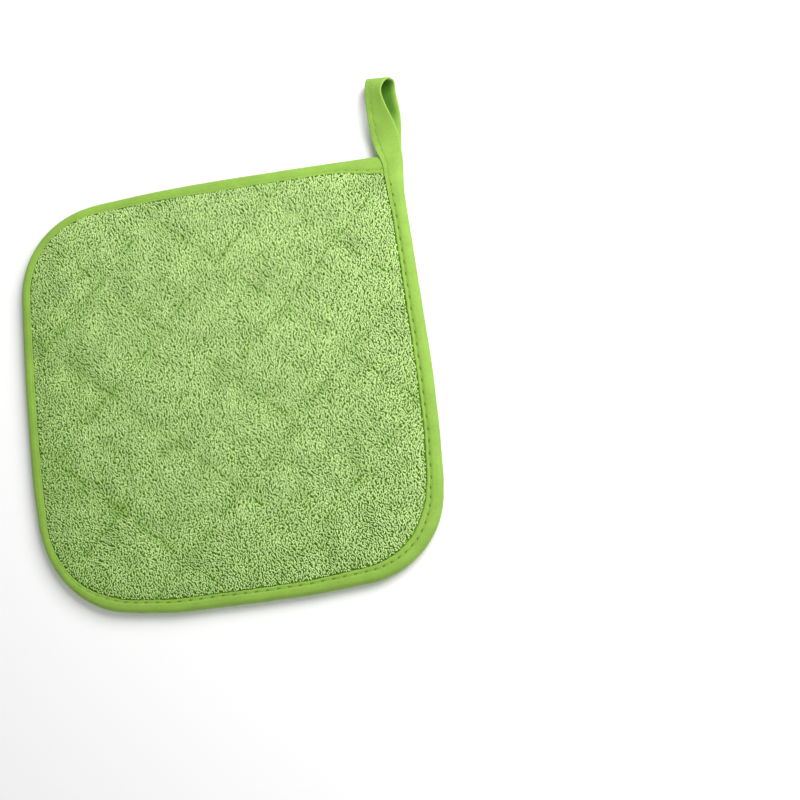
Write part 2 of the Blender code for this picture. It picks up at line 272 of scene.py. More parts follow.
class Outline:
    """The pad's outer edge, anticlockwise from the square corner, at an even spacing.

    points, inward and away are arrays of 2-D vectors. away leads from the square corner along its side, and
    mitre fades from 1 at that corner to 0 a little way off. run is the distance from the corner along the
    edge, and sewn the same in stitches of the usual length.
    """

    def __init__(self, spacing):
        half_width, half_height = PAD_WIDTH / 2, PAD_HEIGHT / 2
        top_left = (TOP_LEFT_RADIUS - half_width, half_height - TOP_LEFT_RADIUS)
        low_left = (BOTTOM_LEFT_RADIUS - half_width, BOTTOM_LEFT_RADIUS - half_height)
        low_right = (half_width - BOTTOM_RIGHT_RADIUS, BOTTOM_RIGHT_RADIUS - half_height)
        square = (half_width, half_height)
        stretches = [
            side(square, (top_left[0], half_height), TOP_BOW, 0, spacing),
            corner(top_left, TOP_LEFT_RADIUS, 90, 1, spacing),
            side((-half_width, top_left[1]), (-half_width, low_left[1]), LEFT_BOW, 2, spacing),
            corner(low_left, BOTTOM_LEFT_RADIUS, 180, 3, spacing),
            side((low_left[0], -half_height), (low_right[0], -half_height), BOTTOM_BOW, 4, spacing),
            corner(low_right, BOTTOM_RIGHT_RADIUS, 270, 5, spacing),
            side((half_width, low_right[1]), square, RIGHT_BOW, 6, spacing),
        ]
        sharp, self.place = (np.concatenate(parts) for parts in zip(*stretches))
        from_corner = np.hypot(*(sharp - square).T)
        plain = self.eased(sharp, from_corner, spacing)
        ahead = np.roll(plain, -1, axis=0) - np.roll(plain, 1, axis=0)
        ahead[0] = (-1.0, 0.0)
        ahead /= np.hypot(*ahead.T)[:, None]
        self.inward = crossways(ahead)
        places, *columns = zip(*EDGE)
        trim, width, inset, self.shows = (np.interp(self.place, places, rows) for rows in columns)
        self.face_width, self.inset = width * MM, inset * MM
        self.points = plain + self.inward * (trim * MM)[:, None]
        steps = np.hypot(*(np.roll(self.points, -1, axis=0) - self.points).T)
        drawn = USUAL_STITCH / np.interp(self.place, *zip(*STITCH_LENGTHS))
        self.run, self.sewn = running_total(steps), running_total(steps * drawn)
        on_top_side = self.place < 1
        self.away = np.where(on_top_side[:, None], ahead, -ahead)
        self.mitre = np.maximum(0.0, 1 - from_corner / MITRE_REACH)
        first_width, last_width = EDGE[0][2], EDGE[-1][2]
        self.mitre_slope = np.where(on_top_side, last_width / first_width, first_width / last_width)

    @staticmethod
    def eased(points, from_corner, spacing):
        """The points with each meeting of side and corner run smooth, but for the square corner."""
        reach = round(CORNER_EASE / spacing)
        weights = np.hanning(2 * reach + 1)
        weights /= weights.sum()
        offsets = range(-reach, reach + 1)
        mean = sum(weight * np.roll(points, offset, axis=0) for offset, weight in zip(offsets, weights))
        keep = np.clip(2 - from_corner / (2 * CORNER_EASE), 0, 1)[:, None]
        return keep * points + (1 - keep) * mean

    def beside_loop(self, y):
        """The edge's x, the tape's width and its sewing's inset along the side that the loop is on."""
        near = self.place > LOOP_SIDE_FROM
        columns = (self.points[:, 0], self.face_width, self.inset)
        return [np.interp(y, self.points[near, 1], column[near]) for column in columns]

    def inside(self, depth, on_face=True):
        """Points that lie an array of depths inwards, with the square corner mitred."""
        depth = np.broadcast_to(depth, self.place.shape)
        slope = self.mitre_slope if on_face else 1.0
        along = self.away * (depth * slope * self.mitre)[:, None]
        return self.points + self.inward * depth[:, None] + along


class Border:
    """A closed line that can say how far inside it a point lies. The pad has no hollow sides."""

    def __init__(self, points):
        angles = np.arctan2(points[:, 1], points[:, 0])
        order = np.argsort(angles)
        self.angles = angles[order]
        self.radii = np.hypot(*points.T)[order]
        self.tree = kdtree.KDTree(len(points))
        for index, (x, y) in enumerate(points):
            self.tree.insert((x, y, 0), index)
        self.tree.balance()

    def holds(self, points):
        angles = np.arctan2(points[:, 1], points[:, 0])
        return np.hypot(*points.T) < np.interp(angles, self.angles, self.radii, period=2 * pi)

    def distance(self, points):
        near = np.array([self.tree.find((x, y, 0))[2] for x, y in points])
        return np.where(self.holds(points), near, 0.0)


# ---- Quilting ----


def line_counts(points):
    """How many sewn lines of each family every point is past, with fractions."""
    x, y = points.T
    return [(y * np.cos(angle) - x * np.sin(angle) - offset) / spacing for angle, spacing, offset in QUILTING]


def off_line(counts, spacing=1.0):
    """How far each point is from the nearest sewn line of a family."""
    return ((counts + 0.5) % 1 - 0.5) * spacing


def puff(points):
    """How full the filling stands: 0 on a sewn line, 1 at the middle of a diamond."""
    falling, rising = line_counts(points)
    fullness = np.sin(pi * (falling % 1)) * np.sin(pi * (rising % 1))
    return 1 - (1 - fullness) ** PUFF_FIRMNESS


def edge_slope(border, points):
    """0 at the tape, 1 where the pad has its full thickness."""
    return np.sin(np.minimum(1.0, border.distance(points) / EDGE_SLOPE_WIDTH) * pi / 2)


def terry_height(border, points):
    """The height of the pile's tips, with the quilting's troughs as soft hollows."""
    rim = BOUND_THICKNESS + GAP
    level = np.ones(len(points))
    for counts, (_, spacing, _) in zip(line_counts(points), QUILTING):
        level *= 1 - bump_curve(off_line(counts, spacing), PILE_TROUGH_HALF_WIDTH)
    full = PAD_THICKNESS - PILE_TROUGH_DEPTH * (1 - level)
    return rim + (full - rim) * edge_slope(border, points)


def silver_height(border, points):
    """The height of the back cloth's outer side, without its creases."""
    drawn_up = 1 - np.minimum(1.0, puff(points) * PUFF_FLAT_SHARE)
    at_tape = SILVER_RIM_SHARE * (1 - edge_slope(border, points))
    return SILVER_CHANNEL_RISE * np.maximum(drawn_up, at_tape)


# ---- Meshes ----


def running_total(steps):
    """The distance run at the start of each step, and at the end of the last."""
    return np.concatenate([[0.0], np.cumsum(steps)])


def in_rows(count, *parts):
    """The parts side by side as one array. A row or a number stands for a part that is alike in all rows."""
    widths = (np.atleast_1d(part).shape[-1] for part in parts)
    return np.concatenate([np.broadcast_to(part, (count, width)) for part, width in zip(parts, widths)], 1)


def unit(vectors):
    return vectors / np.maximum(np.linalg.norm(vectors, axis=-1, keepdims=True), 1e-12)


def add_object(name, data):
    made = bpy.data.objects.new(name, data)
    bpy.context.scene.collection.objects.link(made)
    return made


def add_piece(name, points, faces, material, values=None, uv=None):
    """A smooth object from an array of points in the pad's frame and a list of arrays of faces.

    values maps the name of each attribute to one number for each point. uv holds a pair for each face corner,
    for the first array of faces alone.
    """
    mesh = bpy.data.meshes.new(name)
    corners = np.concatenate([group.ravel() for group in faces])
    sides = np.concatenate([np.full(len(group), group.shape[1]) for group in faces])
    mesh.vertices.add(len(points))
    mesh.vertices.foreach_set("co", (points + PAD_CENTRE).ravel())
    mesh.loops.add(len(corners))
    mesh.loops.foreach_set("vertex_index", corners)
    mesh.polygons.add(len(sides))
    mesh.polygons.foreach_set("loop_start", np.concatenate([[0], np.cumsum(sides)[:-1]]))
    mesh.update(calc_edges=True)
    for title, numbers in (values or {}).items():
        mesh.attributes.new(title, "FLOAT", "POINT").data.foreach_set("value", numbers.astype(np.float32))
    if uv is not None:
        flat = np.zeros((len(corners), 2), dtype=np.float32)
        flat[: uv.size // 2] = uv.reshape(-1, 2)
        mesh.uv_layers.new(name="cloth").data.foreach_set("uv", flat.ravel())
    mesh.shade_smooth()
    mesh.materials.append(material)
    piece = add_object(name, mesh)
    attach(piece, "root")
    return piece


def grid_faces(rows, columns, close_rows=False):
    """Quads over a grid of points whose columns close on themselves, and each corner's row and column."""
    row, column = np.mgrid[: rows if close_rows else rows - 1, :columns].reshape(2, -1, 1)
    row, column = row + [0, 0, 1, 1], (column + [0, 1, 1, 0]) % columns
    return row % rows * columns + column, row, column


def sweep_uv(along, across, row, column):
    """Cloth coordinates for the corners of grid_faces. along has one value more than there are rows."""
    return np.stack([along[row], across[row % len(across), column]], 2)


def tubes(paths, radii, beside, sides, caps=False):
    """Points and faces of many like tubes. paths is tubes x steps x 3, beside a vector across each tube."""
    count, steps = paths.shape[:2]
    ahead = unit(np.gradient(paths, axis=1))
    across = unit(np.cross(ahead, beside[:, None, :]))
    outward = np.cross(ahead, across)
    angles = np.arange(sides)[:, None] * 2 * pi / sides
    ring = across[:, :, None, :] * np.cos(angles) + outward[:, :, None, :] * np.sin(angles)
    points = paths[:, :, None, :] + ring * np.broadcast_to(radii, (count, steps))[:, :, None, None]
    first = np.arange(count)[:, None, None] * steps * sides
    faces = [(grid_faces(steps, sides)[0] + first).reshape(-1, 4)]
    if caps:
        foot = np.arange(sides)[::-1] + first[:, 0]
        head = np.arange(sides) + (steps - 1) * sides + first[:, 0]
        faces += [foot, head]
    return points.reshape(-1, 3), faces


def join(parts):
    """One array of points and one list of faces from several pairs of them."""
    points, faces, start = [], {}, 0
    for some_points, some_faces in parts:
        points.append(some_points)
        for group in some_faces:
            faces.setdefault(group.shape[1], []).append(group + start)
        start += len(some_points)
    return np.concatenate(points), [np.concatenate(groups) for groups in faces.values()]


def pad_cloth(outline, rings, outer_height, inner_level):
    """A closed sheet, tucked into the tape: its outer side follows outer_height, its inner side is flat.

    The points lie on rings round the pad's middle, so the sheet's edge runs evenly inside the tape.
    """
    rim = outline.inside(TUCK_INSET, on_face=False)
    count = len(rim)
    shares = np.linspace(0, 1, rings + 1)[:0:-1]
    flat = np.concatenate([rim * share for share in shares])
    middle = np.zeros((1, 2))
    outer, hub = (np.column_stack([spots, outer_height(spots)]) for spots in (flat, middle))
    inner, inner_hub = (in_rows(len(spots), spots, inner_level) for spots in (rim, middle))
    around = np.arange(count)
    after = (around + 1) % count
    last_ring, inner_start = (rings - 1) * count, rings * count
    hub_at = inner_start + count
    walls = np.stack([around, inner_start + around, inner_start + after, after], 1)
    outer_fan = np.stack([last_ring + around, last_ring + after, np.full(count, hub_at)], 1)
    inner_fan = np.stack([inner_start + after, inner_start + around, np.full(count, hub_at + 1)], 1)
    points = np.concatenate([outer, inner, hub, inner_hub])
    return points, [grid_faces(rings, count)[0], walls, outer_fan, inner_fan]


# ---- Material parts ----


class Graph:
    """Puts nodes into a material or a node group, each to the right of the last, and links them."""

    def __init__(self, tree):
        self.tree = tree
        self.count = 0

    def node(self, kind, settings=None, **inputs):
        """A node with its settings and inputs. An input is a number, a colour or another node's output."""
        made = self.tree.nodes.new("ShaderNode" + kind)
        made.location = (200 * (self.count // 4), -220 * (self.count % 4))
        self.count += 1
        for title, value in (settings or {}).items():
            setattr(made, title, value)
        for title, value in inputs.items():
            self.set(made, title.replace("_", " "), value)
        return made

    def set(self, node, title, value):
        """Gives an input of a node, by its title or its number, a value or another node's output."""
        if isinstance(value, bpy.types.NodeSocket):
            self.tree.links.new(value, node.inputs[title])
        else:
            node.inputs[title].default_value = value

    def filled(self, kind, settings, values):
        """A node whose inputs are given by their numbers."""
        made = self.node(kind, settings)
        for number, value in values.items():
            self.set(made, number, value)
        return made.outputs

    def maths(self, operation, *values):
        return self.filled("Math", {"operation": operation}, dict(enumerate(values)))[0]

    def blend(self, share, first, second, way="MIX"):
        settings = {"data_type": "RGBA", "blend_type": way}
        return self.filled("Mix", settings, {0: share, 6: first, 7: second})[2]

    def ramp(self, value, low, high, to_low=0.0, to_high=1.0):
        """The value moved from one range to another, and held inside it."""
        values = dict(enumerate((value, low, high, to_low, to_high)))
        return self.filled("MapRange", {"clamp": True}, values)[0]

    def turned(self, vector, angle):
        """The x and y of a vector turned about the upright axis."""
        turn = self.node("VectorRotate", {"rotation_type": "Z_AXIS"}, Vector=vector, Angle=angle)
        return self.node("SeparateXYZ", Vector=turn.outputs[0]).outputs[:2]

    def attribute(self, title):
        return self.node("Attribute", {"attribute_name": title}).outputs["Fac"]

    def group(self, group, **inputs):
        """A shared node group with its own values here."""
        return self.node("Group", {"node_tree": group}, **inputs).outputs

    def shaded(self, colour, tone):
        """A colour made lighter or darker by a number that varies over the surface."""
        grey = self.node("CombineColor", Red=tone, Green=tone, Blue=tone).outputs[0]
        return self.blend(1.0, colour, grey, "MULTIPLY")


class Finish(Graph):
    """The Graph of a material, with its Principled shader and its object coordinates."""

    def __init__(self, name, roughness, sheen=0.0, specular=0.3):
        self.material = bpy.data.materials.new(name)
        self.material.use_nodes = True
        self.material.node_tree.nodes.clear()
        super().__init__(self.material.node_tree)
        self.shader = self.node("BsdfPrincipled", Roughness=roughness, Specular_IOR_Level=specular)
        self.set(self.shader, "Sheen Weight", sheen)
        self.set(self.shader, "Sheen Roughness", 0.5)
        self.node("OutputMaterial", Surface=self.shader.outputs[0])
        self.place = self.node("TexCoord").outputs["Object"]

    def fibres(self, size, roughness=0.6):
        return self.group(fibre_group(), Place=self.place, Size=size, Roughness=roughness)["Fibres"]

    def drift(self, size, amount):
        return self.group(drift_group(), Place=self.place, Size=size, Amount=amount)["Tone"]

    def finished(self, colour, height, strength, distance):
        """The material, with its colour and its relief linked up."""
        self.set(self.shader, "Base Color", colour)
        bump = self.node("Bump", Height=height, Strength=strength, Distance=distance)
        self.set(self.shader, "Normal", bump.outputs[0])
        return self.material


def node_group(name, inputs, outputs):
    """Makes a function that links up a node group into one that gives the group, built at its first use.

    inputs maps each title to its default, or to None for a vector. The function gets a Graph and the group's
    inputs, and returns its outputs, which are numbers.
    """

    def wrapped(link_up):
        def group():
            if name in bpy.data.node_groups:
                return bpy.data.node_groups[name]
            tree = bpy.data.node_groups.new(name, "ShaderNodeTree")
            for title, default in inputs.items():
                kind = "NodeSocketVector" if default is None else "NodeSocketFloat"
                socket = tree.interface.new_socket(title, in_out="INPUT", socket_type=kind)
                if default is not None:
                    socket.default_value = default
            for title in outputs:
                tree.interface.new_socket(title, in_out="OUTPUT", socket_type="NodeSocketFloat")
            given = tree.nodes.new("NodeGroupInput").outputs
            made = tree.nodes.new("NodeGroupOutput").inputs
            for title, value in zip(outputs, link_up(Graph(tree), given)):
                tree.links.new(value, made[title])
            return tree

        return group

    return wrapped


@node_group("Plain Weave", {"Cloth": None, "Pitch": 0.0004, "Turn": pi / 4}, ["Height", "Gaps"])
def weave_group(graph, given):
    """Crossing threads: their height and where the gaps between them lie."""
    waves = []
    for part in graph.turned(given["Cloth"], given["Turn"]):
        turns = graph.maths("DIVIDE", part, given["Pitch"])
        waves.append(graph.maths("SINE", graph.maths("MULTIPLY", turns, pi)))
    height = graph.maths("MULTIPLY_ADD", graph.maths("MULTIPLY", *waves), 0.5, 0.5)
    least = graph.maths("MINIMUM", *(graph.maths("ABSOLUTE", wave) for wave in waves))
    return height, graph.ramp(least, 0.0, 0.35, 1.0, 0.0)


@node_group("Cotton Fibres", {"Place": None, "Size": 0.0004, "Roughness": 0.6}, ["Fibres"])
def fibre_group(graph, given):
    """Fine stray fibres, as a soft noise."""
    scale = graph.maths("DIVIDE", 1.0, given["Size"])
    cloud = graph.node(
        "TexNoise", Vector=given["Place"], Scale=scale, Roughness=given["Roughness"], Detail=3.0
    )
    return [graph.ramp(cloud.outputs[0], 0.25, 0.75)]


@node_group("Tone Drift", {"Place": None, "Size": 0.02, "Amount": 0.1}, ["Tone"])
def drift_group(graph, given):
    """Slow change of tone over a cloth, as from wear, dye and light pressing."""
    scale = graph.maths("DIVIDE", 1.0, given["Size"])
    cloud = graph.node("TexNoise", Vector=given["Place"], Scale=scale, Detail=2.0)
    shifted = graph.maths("SUBTRACT", graph.ramp(cloud.outputs[0], 0.3, 0.7), 0.5)
    return [graph.maths("MULTIPLY_ADD", shifted, given["Amount"], 1.0)]


@node_group(
    "Needle Holes",
    {"Along": 0.0, "Across": 0.0, "Pitch": 0.0045, "Long": 0.0005, "Wide": 0.0003},
    ["Holes", "Line"],
)
def needle_group(graph, given):
    """The needle's holes along a line of sewing, from cloth coordinates that are 0 across at the line."""
    beat = graph.maths("PINGPONG", given["Along"], graph.maths("MULTIPLY", given["Pitch"], 0.5))
    far = graph.maths("DIVIDE", beat, given["Long"])
    off = graph.maths("DIVIDE", given["Across"], given["Wide"])
    square = graph.maths("ADD", graph.maths("MULTIPLY", far, far), graph.maths("MULTIPLY", off, off))
    line = graph.ramp(graph.maths("ABSOLUTE", off), 0.3, 1.9, 1.0, 0.0)
    return graph.ramp(square, 0.45, 1.6, 1.0, 0.0), line


def rgba(colour):
    return (*colour, 1.0)


def tape_material(sizes, colours):
    """Woven lime tape, with painted shade along the groove of its sewing and in the needle's holes.

    Inside the loop's bend the tape's colour is a deeper green: painted shade, where little light reaches in.
    """
    lime = Finish("Lime Tape", 0.65, sheen=0.06, specular=0.28)
    cloth = lime.node("UVMap", {"uv_map": "cloth"}).outputs[0]
    along, across, _ = lime.node("SeparateXYZ", Vector=cloth).outputs
    weave = lime.group(weave_group(), Cloth=cloth, Pitch=0.00034, Turn=pi / 4)
    needle = lime.group(
        needle_group(),
        Along=lime.maths("MULTIPLY_ADD", across, 0.7, along),
        Across=across,
        Pitch=sizes.tape_stitch,
        Long=0.00085,
        Wide=0.00032,
    )
    tone = lime.maths("MULTIPLY_ADD", weave["Gaps"], -0.10, lime.drift(0.009, 0.16))
    tone = lime.maths("MULTIPLY_ADD", lime.fibres(0.0008), 0.18, tone)
    # Painted shade along the groove of the sewing.
    tone = lime.maths("MULTIPLY_ADD", needle["Line"], -0.07, tone)
    plain = lime.shaded(rgba(colours.tape), tone)
    holes = lime.maths("MULTIPLY", needle["Holes"], lime.attribute("holes"))
    # Painted shade in the needle's holes: a near black green where the holes show.
    dark = [0.24 * part for part in colours.tape_thread]
    hole_shaded = lime.blend(lime.maths("MULTIPLY", holes, 0.76), plain, rgba(dark))
    # deep is the painted shade inside the loop's bend: a deeper green than the tape's own.
    deep = [part**2 for part in colours.tape]
    colour = lime.blend(lime.attribute("painted_curl_shade"), hole_shaded, rgba(deep))
    height = lime.maths("MULTIPLY_ADD", holes, -3.0, weave["Height"])
    return lime.finished(colour, height, 0.35, 0.00008)


def pile_material(colours):
    """Terry yarn: its own green at its tips, darker towards its roots as painted shade among the loops, each
    loop of its own tone.
    """
    yarn = Finish("Terry Yarn", 0.9, sheen=0.2, specular=0.15)
    fibres = yarn.fibres(0.00035)
    # The height attribute says how far a point is clear of the painted shade at the roots.
    rise = yarn.ramp(yarn.attribute("height"), 0.15, 0.95)
    mixed = yarn.blend(rise, rgba(colours.pile_root_shade), rgba(colours.pile_tip))
    shade = yarn.maths("MULTIPLY", yarn.attribute("tone"), yarn.drift(0.014, 0.06))
    shade = yarn.maths("MULTIPLY_ADD", fibres, 0.30, yarn.maths("SUBTRACT", shade, 0.15))
    return yarn.finished(yarn.shaded(mixed, shade), fibres, 0.5, 0.00012)


def ground_material(colours):
    """The terry's ground cloth, in the roots' painted shade, which only shows as dark gaps between the loops.
    """
    ground = Finish("Terry Ground", 0.95, specular=0.1)
    weave = ground.group(weave_group(), Cloth=ground.place, Pitch=0.0006, Turn=0.0)
    tone = ground.maths("MULTIPLY_ADD", weave["Gaps"], -0.4, ground.drift(0.012, 0.3))
    return ground.finished(ground.shaded(rgba(colours.pile_root_shade), tone), weave["Height"], 0.6, 0.0002)


def quilting_holes(graph, pitch, angle, spacing, offset):
    """The needle's holes along one family of quilting lines, from object coordinates."""
    from_centre = graph.filled(
        "VectorMath", {"operation": "SUBTRACT"}, {0: graph.place, 1: tuple(PAD_CENTRE)}
    )
    along, aside = graph.turned(from_centre[0], -angle)
    shifted = graph.maths("SUBTRACT", aside, offset - spacing / 2)
    across = graph.maths("SUBTRACT", graph.maths("FLOORED_MODULO", shifted, spacing), spacing / 2)
    holes = graph.group(
        needle_group(), Along=along, Across=across, Pitch=pitch, Long=0.00042, Wide=0.00042
    )
    return holes["Holes"]


def silver_material(sizes, colours):
    """Metal coated cloth with a satin shine; its needle's holes have no shine and are painted near black, as
    painted shade.
    """
    silver = Finish("Silver Cloth", 0.38, specular=0.5)
    weave = silver.group(weave_group(), Cloth=silver.place, Pitch=0.00030, Turn=0.0)
    fibres = silver.fibres(0.0030, 0.7)
    tone = silver.maths("MULTIPLY_ADD", weave["Gaps"], -0.06, silver.drift(0.016, 0.12))
    plain = silver.shaded(rgba(colours.silver), tone)
    families = (quilting_holes(silver, sizes.quilting_stitch, *family) for family in QUILTING)
    # Painted shade: the quilting's needle holes are painted near black.
    holes = silver.maths("MAXIMUM", *families)
    silver.set(silver.shader, "Metallic", silver.maths("MULTIPLY_ADD", holes, -0.8, 0.85))
    silver.set(silver.shader, "Roughness", silver.ramp(fibres, 0.0, 1.0, 0.32, 0.46))
    height = silver.maths("MULTIPLY_ADD", fibres, 2.0, weave["Height"])
    return silver.finished(silver.blend(holes, plain, (0.03, 0.03, 0.03, 1.0)), height, 0.4, 0.00006)


def thread_material(name, colour):
    """Twisted sewing thread."""
    thread = Finish(name, 0.6, sheen=0.15, specular=0.35)
    fibres = thread.fibres(0.00025)
    tone = thread.maths("MULTIPLY_ADD", fibres, 0.3, 0.85)
    return thread.finished(thread.shaded(rgba(colour), tone), fibres, 0.5, 0.00006)


def lime_tape(sizes, colours):
    return bpy.data.materials.get("Lime Tape") or tape_material(sizes, colours)


def green_thread(colours):
    return bpy.data.materials.get("Green Thread") or thread_material("Green Thread", colours.tape_thread)


# ---- Terry face ----

GROUND_RINGS = 34
GROUND_BELOW_TIPS = 0.0015
FOOT_BELOW_GROUND = 0.0001

# How the pile's loops are drawn and how they vary.
TERRY_LOOP_STEPS = 4
TERRY_YARN_SIDES = 3
TERRY_PILE_PIECES = 4
PILE_SEED = 11
ROW_STEP = 0.866  # of the pitch
NUDGE = 0.28  # of the pitch, each way
COMBED = ((1.1, 0.016, 3.1), (0.4, 0.006, 8.4))
HEADING_SPREAD = 0.55
LEAN_SPREAD = 0.6
LEAN_MM = (0.25, 0.75)
UPRIGHT_WITHIN = 0.0012  # of the tape, where the loops have no room to lean
HEIGHT_SHARES = (0.90, 1.07)
HALF_SPAN_MM = (0.22, 0.42)
TURN_SHARES = (0.08, 0.92)  # of a half turn, from a loop's one foot to the other
FLAT_TOP = 0.75
BULGE = 0.45
TONE_SPREAD = 0.07
TONE_LIMITS = (0.8, 1.2)

# How loose the pile is, and what that does: a slope over the pad and soft patches.
LOOSE_USUAL = 0.1
LOOSE_SLOPE = (6.0, 3.5)
LOOSE_PATCHES = (1.3, 0.008, 51.0)
LOOSE_LIMITS = (-0.5, 1.2)
LOOSE_PAINTED_SHADE = 0.08
YARN_LOSS = 0.15

# How far the tips are clear of painted shade: less along the left and bottom edges, evened out towards the
# upper right.
PALE_USUAL = 0.98
LEFT_EDGE_SHADE = (0.31, 0.024)  # how much, and its reach
BOTTOM_EDGE_SHADE = (0.18, 0.016)
PALE_PATCHES = ((0.09, 0.018, 41.0), (0.06, 0.007, 43.0))
PALE_LIFT = 0.06
# Towards the upper right the tips are painted darker and the roots lighter, evening out the lamp's stronger
# light there.
EVEN_SLOPE = (3.2, 2.4)
EVEN_MOST = 0.5
EVEN_RISE = 0.78

# How the quilting shows in the pile. It dips and parts the loops, and adds painted shade close by and, more
# softly, further off.
SEWN_WANDER = (0.0012, 0.007)  # how much, and over what size
SEWN_SHOWS = (0.45, 1.3, 0.009)  # usually, how much it varies and over what size
SEWN_HALF_WIDTH = 0.0012
SEWN_DIP = 0.00015
SEWN_PAINTED_SHADE = 0.22
SEWN_SHADE_HALF_WIDTH = 0.0042
SEWN_SHADE = 0.08
PARTED_HALF_WIDTH = 0.0009
PARTING_REACH = 0.00040


def terry_ground(outline, border, material):
    """The woven ground of the terry cloth, quilted and tucked into the tape."""

    def outer_height(flat):
        return terry_height(border, flat) - GROUND_BELOW_TIPS

    points, faces = pad_cloth(outline, GROUND_RINGS, outer_height, PANEL_PARTING + GAP)
    return add_piece("terry_ground", points, faces, material)


def sewn_in(points):
    """How close the pile is to a sewn line, how far its shade reaches and which way the line parts the pile.

    It shows more in some places.
    """
    closeness, shade, parting = np.zeros(len(points)), np.zeros(len(points)), np.zeros((len(points), 2))
    for seed, (counts, (angle, spacing, _)) in enumerate(zip(line_counts(points), QUILTING)):
        off = off_line(counts, spacing) + patches(points, (*SEWN_WANDER, 31.0 + seed))
        usual, *varies = SEWN_SHOWS
        shows = np.clip(usual + patches(points, (*varies, 21.0 + seed)), 0.0, 1.2)
        closeness = np.maximum(closeness, shows * bump_curve(off, SEWN_HALF_WIDTH))
        shade += np.clip(shows + 0.25, 0, 1) * bump_curve(off, SEWN_SHADE_HALF_WIDTH)
        aside = np.sign(off) * shows * bump_curve(off, PARTED_HALF_WIDTH)
        parting += aside[:, None] * crossways(direction(angle))
    return closeness, shade, parting


def edge_shade_and_patches(points):
    """How far the loops' tips are clear of painted shade: least along the left and bottom edges, and varying in
    patches.
    """
    edges = zip(points.T, (PAD_WIDTH, PAD_HEIGHT), (LEFT_EDGE_SHADE, BOTTOM_EDGE_SHADE))
    # deep is the painted shade along the left and bottom edges.
    deep = sum(much * np.exp(-(place + full / 2) / reach) for place, full, (much, reach) in edges)
    return PALE_USUAL - deep + patches(points, *PALE_PATCHES)


def scattered_roots(border, pitch, chance):
    """Places of the loops: a hexagonal net with every knot nudged, kept inside the border."""
    rows = np.arange(-PAD_HEIGHT / 2, PAD_HEIGHT / 2, pitch * ROW_STEP)
    columns = np.arange(-PAD_WIDTH / 2, PAD_WIDTH / 2, pitch)
    x, y = np.meshgrid(columns, rows)
    x = x + (np.arange(len(rows)) % 2)[:, None] * pitch / 2
    roots = np.stack([x.ravel(), y.ravel()], 1)
    roots += chance.uniform(-NUDGE, NUDGE, roots.shape) * pitch
    return roots[border.holds(roots)]


def terry_loops(border, sizes, chance):
    """The pile's loops: their centre lines, radii, a vector across each, their tone and how clear of painted
    shade they are.

    In some patches, and towards the lower left, the pile is looser: its loops are slimmer and given more
    painted shade. Towards the upper right the tips are painted darker and the roots lighter, which evens out
    the lamp's stronger light there.
    """
    roots = scattered_roots(border, sizes.loop_pitch, chance)
    count = len(roots)
    heading = pi / 2 + patches(roots, *COMBED) + chance.normal(0, HEADING_SPREAD, count)
    along = direction(heading)
    lean = direction(heading + chance.normal(0, LEAN_SPREAD, count))
    free = np.clip(border.distance(roots) / UPRIGHT_WITHIN, 0.2, 1.0)
    lean *= (chance.uniform(*LEAN_MM, count) * free)[:, None] * MM
    closeness, shade, parting = sewn_in(roots)
    lean += parting * PARTING_REACH
    tips = terry_height(border, roots) - SEWN_DIP * closeness
    height = sizes.loop_height * chance.uniform(*HEIGHT_SHARES, count)
    foot = tips - GROUND_BELOW_TIPS - FOOT_BELOW_GROUND
    half = chance.uniform(*HALF_SPAN_MM, count) * MM
    turns = np.linspace(*TURN_SHARES, TERRY_LOOP_STEPS) * pi
    rise = np.sin(turns) ** FLAT_TOP
    reach = -np.cos(turns) * (1 + BULGE * np.sin(turns))
    spread = along[:, None, :] * (half[:, None] * reach)[:, :, None]
    flat = roots[:, None, :] + spread + lean[:, None, :] * (rise**2)[None, :, None]
    up = foot[:, None] + (height - sizes.yarn_radius)[:, None] * rise
    paths = np.concatenate([flat, up[:, :, None]], 2)
    beside = in_rows(count, crossways(along), 0.0)
    tone = np.clip(chance.normal(1.0, TONE_SPREAD, count), *TONE_LIMITS)
    loose = np.clip(LOOSE_USUAL - roots @ LOOSE_SLOPE + patches(roots, LOOSE_PATCHES), *LOOSE_LIMITS)
    painted_shade = LOOSE_PAINTED_SHADE * loose + SEWN_PAINTED_SHADE * closeness + SEWN_SHADE * shade
    even = np.clip(roots @ EVEN_SLOPE, 0, EVEN_MOST)[:, None]
    # pale is how far each point is clear of the roots' painted shade.
    pale = (rise * (1 - even) + EVEN_RISE * even) * (edge_shade_and_patches(roots) + PALE_LIFT - painted_shade)[:, None]
    radii = sizes.yarn_radius * (0.9 + 0.2 * rise) * (1.07 - YARN_LOSS * loose)[:, None]
    return paths, radii, beside, np.broadcast_to(tone[:, None], paths.shape[:2]), pale


def terry_pile(border, sizes, material):
    """The loops as joined tubes, in a few pieces from the bottom of the pad to its top."""
    chance = np.random.default_rng(PILE_SEED)
    paths, radii, beside, tone, pale = terry_loops(border, sizes, chance)
    order = np.argsort(paths[:, 0, 1])
    pieces = []
    for number, chosen in enumerate(np.array_split(order, TERRY_PILE_PIECES), start=1):
        points, faces = tubes(paths[chosen], radii[chosen], beside[chosen], TERRY_YARN_SIDES)
        values = {
            # The height values carry the share of tip colour over the roots' painted shade.
            title: np.repeat(numbers[chosen].ravel(), TERRY_YARN_SIDES)
            for title, numbers in (("height", pale), ("tone", tone))
        }
        pieces.append(add_piece(f"terry_pile_{number}", points, faces, material, values))
    return pieces


# ---- Silver back ----

SILVER_RINGS = 78
CREASE_OFF = 0.13  # how far off the sewing the creases are deepest, as a share of the spacing
CREASES = (
    # (share, how many along and across a diamond, seed)
    (1.0, 5.5, 1.1, 5.0),
    (0.5, 11.0, 1.6, 15.0),
)
CREASE_SHARE = 1.5
BROAD_SHARE = 0.35


